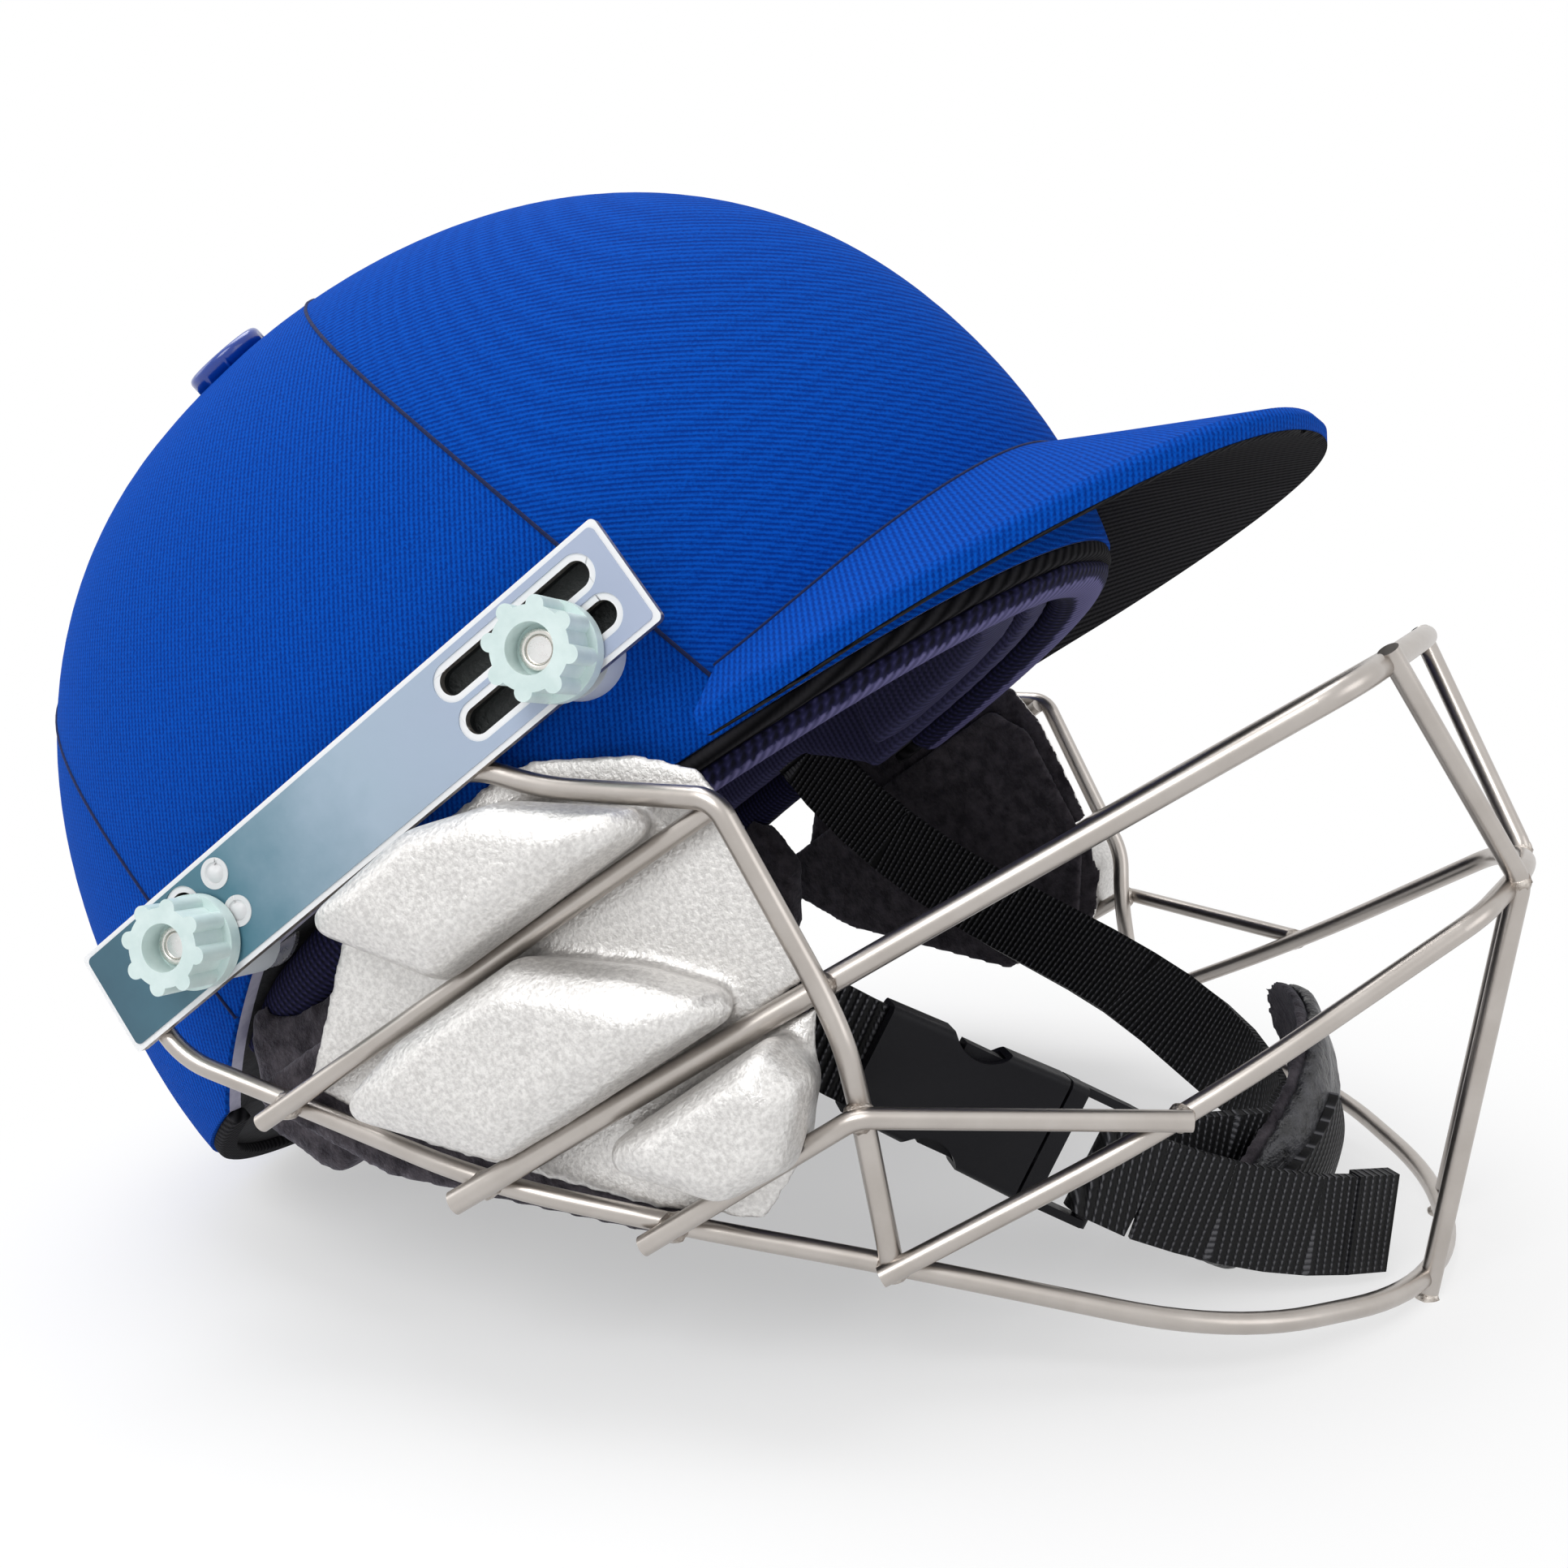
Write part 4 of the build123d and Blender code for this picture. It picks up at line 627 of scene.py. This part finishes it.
for side, name in ((1, "weld_beads_right"), (-1, "weld_beads_left")):
    beads = []
    for x, y, z, size in (
        (35, -86, -124.05, 2.9),
        (9.5, -100, -97.8, 2.9),
        (-14, -110, -73.6, 2.9),
        (-46.5, -112, -40.1, 2.9),
        (55, -89, -76.5, 2.7),
        (48, -90, -98.5, 2.9),
        (87, -65, -128, 2.5),
        (147.5, -16, -128, 2.2),
        (90.7, -19.8, -187, 2.3),
    ):
        bpy.ops.object.select_all(action="DESELECT")
        bpy.ops.mesh.primitive_ico_sphere_add(subdivisions=3, radius=size / 1000, location=at(x, side * y, z))
        bead = bpy.context.object
        bpy.ops.object.mode_set(mode="EDIT")
        bpy.ops.mesh.select_all(action="SELECT")
        bpy.ops.transform.vertex_random(offset=0.0007, seed=len(beads) * 3 + 1)
        bpy.ops.mesh.vertices_smooth(factor=0.5, repeat=1)
        bpy.ops.object.mode_set(mode="OBJECT")
        bpy.ops.object.transform_apply(location=True, rotation=True, scale=True)
        beads.append(bead)
    bpy.ops.object.select_all(action="DESELECT")
    for bead in beads:
        bead.select_set(True)
    bpy.context.view_layer.objects.active = beads[0]
    bpy.ops.object.join()
    welds = bpy.context.object
    welds.name = name
    welds.data.materials.clear()
    welds.data.materials.append(weld_metal)
    bpy.ops.object.shade_smooth()
    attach(welds, "face_guard")

# Side plates: steel strip painted white on its face and bare at the sheared edges, with a dark
# strip riveted behind it, and a printed film on the face that runs from teal to grey blue.
strip = finish("sheared_steel", (0.5, 0.45, 0.41), 0.36, 0.9)
space = own_space(strip)
tint(strip, grain(strip, space, 0.0016, 2.0), ((0.2, (0.3, 0.26, 0.23)), (0.8, (0.6, 0.56, 0.52))))
wear(strip, grain(strip, space, 0.002, 2.0), 0.3, 0.5)
emboss(strip, grain(strip, space, 0.0007, 2.0), 0.00012, 0.8)
white_paint = finish("white_paint", (0.88, 0.885, 0.89), 0.4)
space = own_space(white_paint)
wear(white_paint, grain(white_paint, space, 0.003, 2.0), 0.32, 0.5)
emboss(white_paint, grain(white_paint, space, 0.0012, 1.5), 0.00003, 0.6)
plate_yaw = Matrix.Rotation(radians(12.5), 4, "Z") @ Matrix.Rotation(radians(90), 4, "X")
on_plate = helmet @ Matrix.Translation((0, -0.105, 0)) @ plate_yaw
on_plate = on_plate @ Matrix.Translation((0, -0.0003, 0)) @ Matrix.Rotation(radians(2.6), 4, "Z")
outward = (on_plate.to_3x3() @ Vector((0, 0, 1))).normalized()


def across_side(spot, side):
    """A point or direction of the right side, or its mirror image on the left."""
    return Vector((spot.x, spot.y * side, spot.z))


def pick_faces(piece, direction, least=0.9):
    """Selects the faces that look in a direction, ready for edit mode."""
    select_only(piece)
    bpy.ops.object.mode_set(mode="EDIT")
    bpy.ops.mesh.select_mode(type="FACE")
    bpy.ops.mesh.select_all(action="DESELECT")
    bpy.ops.object.mode_set(mode="OBJECT")
    for face in piece.data.polygons:
        face.select = face.normal.dot(direction) > least
    bpy.ops.object.mode_set(mode="EDIT")


def set_on_plate(piece, offset, side):
    """Takes a piece from the origin to its place on a side plate, with its faces outwards."""
    every_face = -2
    for vertex in piece.data.vertices:
        vertex.co = across_side(on_plate @ (vertex.co + Vector(offset)), side)
    if side < 0:
        pick_faces(piece, Vector((0, 0, 1)), every_face)
        bpy.ops.mesh.flip_normals()
        bpy.ops.object.mode_set(mode="OBJECT")


for side, part in ((1, "right"), (-1, "left")):
    plate = lift("side_plate_" + part, "painted_plate_" + part, strip, "face_guard")
    plate.data.materials.append(white_paint)
    pick_faces(plate, across_side(outward, side))
    plate.active_material_index = 1
    bpy.ops.object.material_slot_assign()
    bpy.ops.object.mode_set(mode="OBJECT")
backing = finish("black_backing", (0.006, 0.008, 0.008), 0.6)
space = own_space(backing)
emboss(backing, grain(backing, space, 0.0009, 2.0), 0.0003, 0.8)
dress(("plate_backing_right", "plate_backing_left"), backing)
film = finish("printed_film", (0.25, 0.36, 0.45), 0.4)
space = own_space(film)
lanes = axes(film, space)
cloudy = grain(film, space, 0.009, 0.9)
along = add_node(
    film.node_tree, "ShaderNodeMapRange", {"Value": lanes["X"], "From Min": -0.033, "From Max": 0.102}
)
mixed = add_node(
    film.node_tree, "ShaderNodeMath", {0: cloudy, 1: 0.14, 2: along.outputs[0]}, operation="MULTIPLY_ADD"
)
tint(
    film,
    mixed.outputs[0],
    (
        (0.1, (0.03, 0.085, 0.125)),
        (0.42, (0.07, 0.19, 0.25)),
        (0.68, (0.36, 0.46, 0.56)),
        (1.0, (0.4, 0.46, 0.6)),
    ),
)
emboss(film, grain(film, space, 0.0008), 0.00003, 0.5)
dress(("plate_label_right", "plate_label_left"), film)

# Slot pads: black grained rubber strips on the studs behind the slots, nearly as wide as the
# plate. They stay with the shell while the plate tilts over them.
pad_rubber = finish("pad_rubber", (0.006, 0.009, 0.009), 0.55)
space = own_space(pad_rubber)
wear(pad_rubber, grain(pad_rubber, space, 0.002, 1.5), 0.45, 0.7)
emboss(pad_rubber, grain(pad_rubber, space, 0.0009, 2.2), 0.0003, 0.9)
for side, part in ((1, "right"), (-1, "left")):
    for place, x, y, long, wide in (("front", 45.5, 0.7, 40, 15.8), ("rear", -43.3, 0.2, 15.5, 20.6)):
        bpy.ops.object.select_all(action="DESELECT")
        bpy.ops.mesh.primitive_cube_add(size=1, location=(0, 0, 0))
        pad = bpy.context.object
        pad.name = "slot_pad_" + place + "_" + part
        bpy.ops.object.mode_set(mode="EDIT")
        bpy.ops.transform.resize(value=(long / 1000, wide / 1000, 0.0003))
        bpy.ops.transform.translate(value=(x / 1000, y / 1000, -0.00375))
        bpy.ops.object.mode_set(mode="OBJECT")
        apply(pad, "BEVEL", width=0.0001, segments=2, limit_method="ANGLE", angle_limit=radians(50))
        set_on_plate(pad, (0, 0, 0), side)
        pad.data.materials.append(pad_rubber)
        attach(pad, "helmet")

# Rivets: domed white enamelled heads with a sunk ring, two on each side, and studs of plated
# steel on pale nylon spacers between the shell and the plates.
enamel = finish("rivet_enamel", (0.74, 0.745, 0.75), 0.35)
space = own_space(enamel)
wear(enamel, grain(enamel, space, 0.0015, 2.0), 0.28, 0.45)
sunk = finish("rivet_ring", (0.3, 0.31, 0.32), 0.5)
space = own_space(sunk)
wear(sunk, grain(sunk, space, 0.0015, 2.0), 0.4, 0.6)
rivets = lift("plate_rivets", "ringed_rivets", enamel, "face_guard")
rivets.data.materials.append(sunk)
select_only(rivets)
bpy.ops.object.mode_set(mode="EDIT")
bpy.ops.mesh.select_all(action="SELECT")
bpy.ops.mesh.dissolve_limited(angle_limit=radians(2))
bpy.ops.mesh.select_mode(type="FACE")
bpy.ops.mesh.select_all(action="DESELECT")
bpy.ops.object.mode_set(mode="OBJECT")
level_share, head_area = 0.95, 0.00001
for face in rivets.data.polygons:
    top = max(face.normal.dot(across_side(outward, side)) for side in (1, -1))
    face.select = top > level_share and face.area > head_area
bpy.ops.object.mode_set(mode="EDIT")
bpy.ops.mesh.inset(thickness=0.0009, depth=0)
bpy.ops.mesh.inset(thickness=0.00015, depth=-0.0003)
rivets.active_material_index = 1
bpy.ops.mesh.inset(thickness=0.0003, depth=0)
bpy.ops.mesh.inset(thickness=0.00015, depth=0.0003)
bpy.ops.object.mode_set(mode="OBJECT")
smooth_shading(rivets, 35)
plated = finish("plated_steel", (0.78, 0.77, 0.76), 0.28, 0.85)
space = own_space(plated)
wear(plated, grain(plated, space, 0.0015, 2.0), 0.2, 0.4)
dress(("plate_studs",), plated)
nylon = finish("pale_nylon", (0.66, 0.7, 0.73), 0.35)
space = own_space(nylon)
emboss(nylon, grain(nylon, space, 0.0012), 0.00004, 0.5)
dress(("stud_spacers",), nylon)

# Hand knobs: pale mint nylon mouldings with eight grips. Each is screwed on its stud by hand and
# clamps the side plate.
mint = finish("mint_nylon", (0.64, 0.77, 0.75), 0.4)
mint.node_tree.nodes["Principled BSDF"].inputs["Subsurface Weight"].default_value = 0.1
mint.node_tree.nodes["Principled BSDF"].inputs["Subsurface Radius"].default_value = (0.002, 0.002, 0.002)
space = own_space(mint)
tint(mint, grain(mint, space, 0.006, 2.0), ((0.2, (0.61, 0.74, 0.72)), (0.8, (0.7, 0.82, 0.8))))
emboss(mint, grain(mint, space, 0.0007), 0.00004, 0.6)
dress(("knob_front_right", "knob_front_left", "knob_rear_right", "knob_rear_left"), mint)

# Threaded inserts: bright turned rings moulded into the knobs. Each shows round its stud's end at
# the bottom of the knob's recess, and turns with the knob.
insert_metal = finish("insert_metal", (0.72, 0.7, 0.66), 0.25, 1.0)
space = own_space(insert_metal)
wear(insert_metal, grain(insert_metal, space, 0.0012, 2.0), 0.18, 0.36)
for side, part in ((1, "right"), (-1, "left")):
    for place, x, y in (("front", 50.0, -3.9), ("rear", -43.3, -2.1)):
        bpy.ops.object.select_all(action="DESELECT")
        bpy.ops.mesh.primitive_cylinder_add(vertices=48, radius=0.0037, depth=0.0012, location=(0, 0, 0))
        ring = bpy.context.object
        ring.name = "knob_insert_" + place + "_" + part
        pick_faces(ring, Vector((0, 0, 1)))
        bpy.ops.mesh.inset(thickness=0.001, depth=0)
        bpy.ops.mesh.inset(thickness=0.0001, depth=-0.0007)
        bpy.ops.object.mode_set(mode="OBJECT")
        apply(ring, "BEVEL", width=0.0002, segments=2, limit_method="ANGLE", angle_limit=radians(50))
        set_on_plate(ring, (x / 1000, y / 1000, 0.0072), side)
        smooth_shading(ring, 40)
        ring.data.materials.append(insert_metal)
        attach(ring, "knob_" + place + "_" + part)

# Buckle: two black acetal mouldings that clip together, the male one with a ladder bar for the
# webbing.
acetal = finish("black_acetal", (0.005, 0.005, 0.007), 0.42)
acetal.node_tree.nodes["Principled BSDF"].inputs["Specular IOR Level"].default_value = 0.18
space = own_space(acetal)
emboss(acetal, grain(acetal, space, 0.0005, 1.5), 0.00006, 0.8)
wear(acetal, grain(acetal, space, 0.004, 2.0), 0.34, 0.5)
dress(("buckle_female", "buckle_male"), acetal)

# Side pads of the face guard: moulded foam lobes between the wires, in silver leather with a
# fine crinkled grain and a pearly coat.
silver = finish("silver_leather", (0.68, 0.665, 0.65), 0.4, 0.6)
space = own_space(silver)
crinkle = grain(silver, space, 0.0009, 2.2)
tint(silver, crinkle, ((0.2, (0.6, 0.585, 0.57)), (0.8, (0.8, 0.785, 0.765))))
wear(silver, crinkle, 0.3, 0.46)
emboss(silver, crinkle, 0.00014, 0.8)
inner_share = -0.35
for way, side in ((1, "right"), (-1, "left")):
    node_name, name = "side_pad_" + side, "silver_pad_" + side
    lobes = cushion(node_name, name, silver, "face_guard", 0.0009, 16, factor=0.5)
    lobes.data.materials.append(suede)
    for face in lobes.data.polygons:
        if face.normal.dot(across_side(outward, way)) < inner_share:
            face.material_index = 1

# Chin cup: crumpled black leather over a suede lining that folds over its upper edge.
cup_skin = finish("cup_leather", (0.03, 0.031, 0.034), 0.38)
space = own_space(cup_skin)
folds = grain(cup_skin, space, 0.0045, 2.6)
tint(cup_skin, folds, ((0.2, (0.02, 0.02, 0.022)), (0.8, (0.07, 0.07, 0.078))))
wear(cup_skin, folds, 0.3, 0.55)
emboss(cup_skin, folds, 0.0009, 0.8)
emboss(cup_skin, grain(cup_skin, space, 0.0009, 1.8), 0.0002, 0.7)
cup_shell = cushion("chin_cup", "cup_shell", cup_skin, "helmet", 0.0009, 6)
crumple = bpy.data.textures.new("crumpled_leather", "CLOUDS")
crumple.noise_scale = 0.009
apply(cup_shell, "DISPLACE", texture=crumple, texture_coords="LOCAL", strength=0.0012, mid_level=0.5)
cup_suede = cushion("chin_cup_lining", "cup_suede", suede, "helmet", 0.0009, 5)
apply(cup_suede, "DISPLACE", texture=crumple, texture_coords="LOCAL", strength=0.0008, mid_level=0.5)

# Chin strap: black webbing with heavy cross ribs, from the shell on each side to the buckle,
# across the cup, and on to a folded and sewn tail.
webbing = finish("black_webbing", (0.008, 0.008, 0.009), 0.6)
webbing.node_tree.nodes["Principled BSDF"].inputs["Specular IOR Level"].default_value = 0.25
tree = webbing.node_tree
space = own_space(webbing)
run = add_node(tree, "ShaderNodeAttribute", {}, attribute_name="run")
spread = add_node(tree, "ShaderNodeAttribute", {}, attribute_name="spread")
weave = ribs(webbing, run.outputs["Fac"], spread.outputs["Fac"], 0.0016, 0.0012)
rib_bumps_and_highlight = add_node(
    tree, "ShaderNodeMath", {0: weave.outputs["Height"], 1: weave.outputs["Rib"]}, operation="MULTIPLY"
)
# The weave is nearly black between the ribs and pale grey on the rib tops: the grey is painted highlight
# where the threads catch the light.
tint(
    webbing,
    rib_bumps_and_highlight.outputs[0],
    ((0.15, (0.0015, 0.0015, 0.002)), (0.75, (0.02, 0.02, 0.024)), (1.0, (0.12, 0.12, 0.13))),
)
emboss(webbing, rib_bumps_and_highlight.outputs[0], 0.0006, 1.0)
emboss(webbing, grain(webbing, space, 0.0006, 1.5), 0.0001, 0.6)


def lay_webbing(node_name, name, route, across):
    """Webbing smoothed along its run, with the distance along and across it for the weave."""
    strap = lift(node_name, name, webbing, "helmet")
    bpy.ops.object.mode_set(mode="EDIT")
    bpy.ops.mesh.select_all(action="SELECT")
    bpy.ops.mesh.tris_convert_to_quads(face_threshold=radians(30), shape_threshold=radians(60))
    bpy.ops.mesh.select_all(action="DESELECT")
    bpy.ops.mesh.edges_select_sharp(sharpness=radians(55))
    bpy.ops.transform.edge_crease(value=1.0)
    bpy.ops.object.mode_set(mode="OBJECT")
    apply(strap, "SUBSURF", levels=3, render_levels=3)
    points = [at(*point) for point in route]
    wide = toward(*across)
    lengths = [0.0]
    for before, after in zip(points, points[1:]):
        lengths.append(lengths[-1] + (after - before).length)
    run_lane = strap.data.attributes.new("run", "FLOAT", "POINT")
    spread_lane = strap.data.attributes.new("spread", "FLOAT", "POINT")
    for vertex in strap.data.vertices:
        nearest = None
        for number, (before, after) in enumerate(zip(points, points[1:])):
            leg = after - before
            share = (vertex.co - before).dot(leg) / leg.length_squared
            held = min(max(share, 0), 1)
            gap = (before + leg * held - vertex.co).length
            if nearest is None or gap < nearest[0]:
                last = number == len(points) - 2
                first = number == 0
                place = share if (last and share > 1) or (first and share < 0) else held
                nearest = (gap, lengths[number] + place * leg.length)
        run_lane.data[vertex.index].value = nearest[1]
        spread_lane.data[vertex.index].value = vertex.co.dot(wide)
    smooth_shading(strap, 40)


lay_webbing(
    "chin_strap_right",
    "strap_run_right",
    (
        (-6, -77, 4),
        (-5, -77, -14),
        (3, -76, -40),
        (30, -71.5, -70),
        (43.9, -70.1, -90.8),
        (46.8, -65.5, -98.3),
    ),
    (0.85, 0.45, 0.3),
)
lay_webbing(
    "chin_strap_left",
    "strap_run_left",
    (
        (-6, 77, 4),
        (-5, 77, -14),
        (6, 74, -48),
        (25, 66, -84),
        (52, 46, -116),
        (66, 28, -134),
        (76, 10, -146),
        (80.6, -5.6, -151),
        (74, -23, -146.5),
        (66, -33, -141.5),
        (60, -42, -133),
    ),
    (0.9, -0.1, 0.1),
)
lay_webbing(
    "strap_tail",
    "strap_end",
    ((60, -44, -134), (72, -36.5, -152), (82, -26, -164.5), (91, -14, -173)),
    (0.62, 0.05, 0.78),
)
lay_webbing(
    "cup_strap",
    "cup_webbing",
    ((60, 20, -160), (70, 8, -164), (78, -8, -163), (84, -24, -155)),
    (0.6, 0.2, 0.7),
)

seen_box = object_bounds()
both = {"cad": [list(map(float, corner)) for corner in cad_box], "seen": [list(map(float, corner)) for corner in seen_box]}
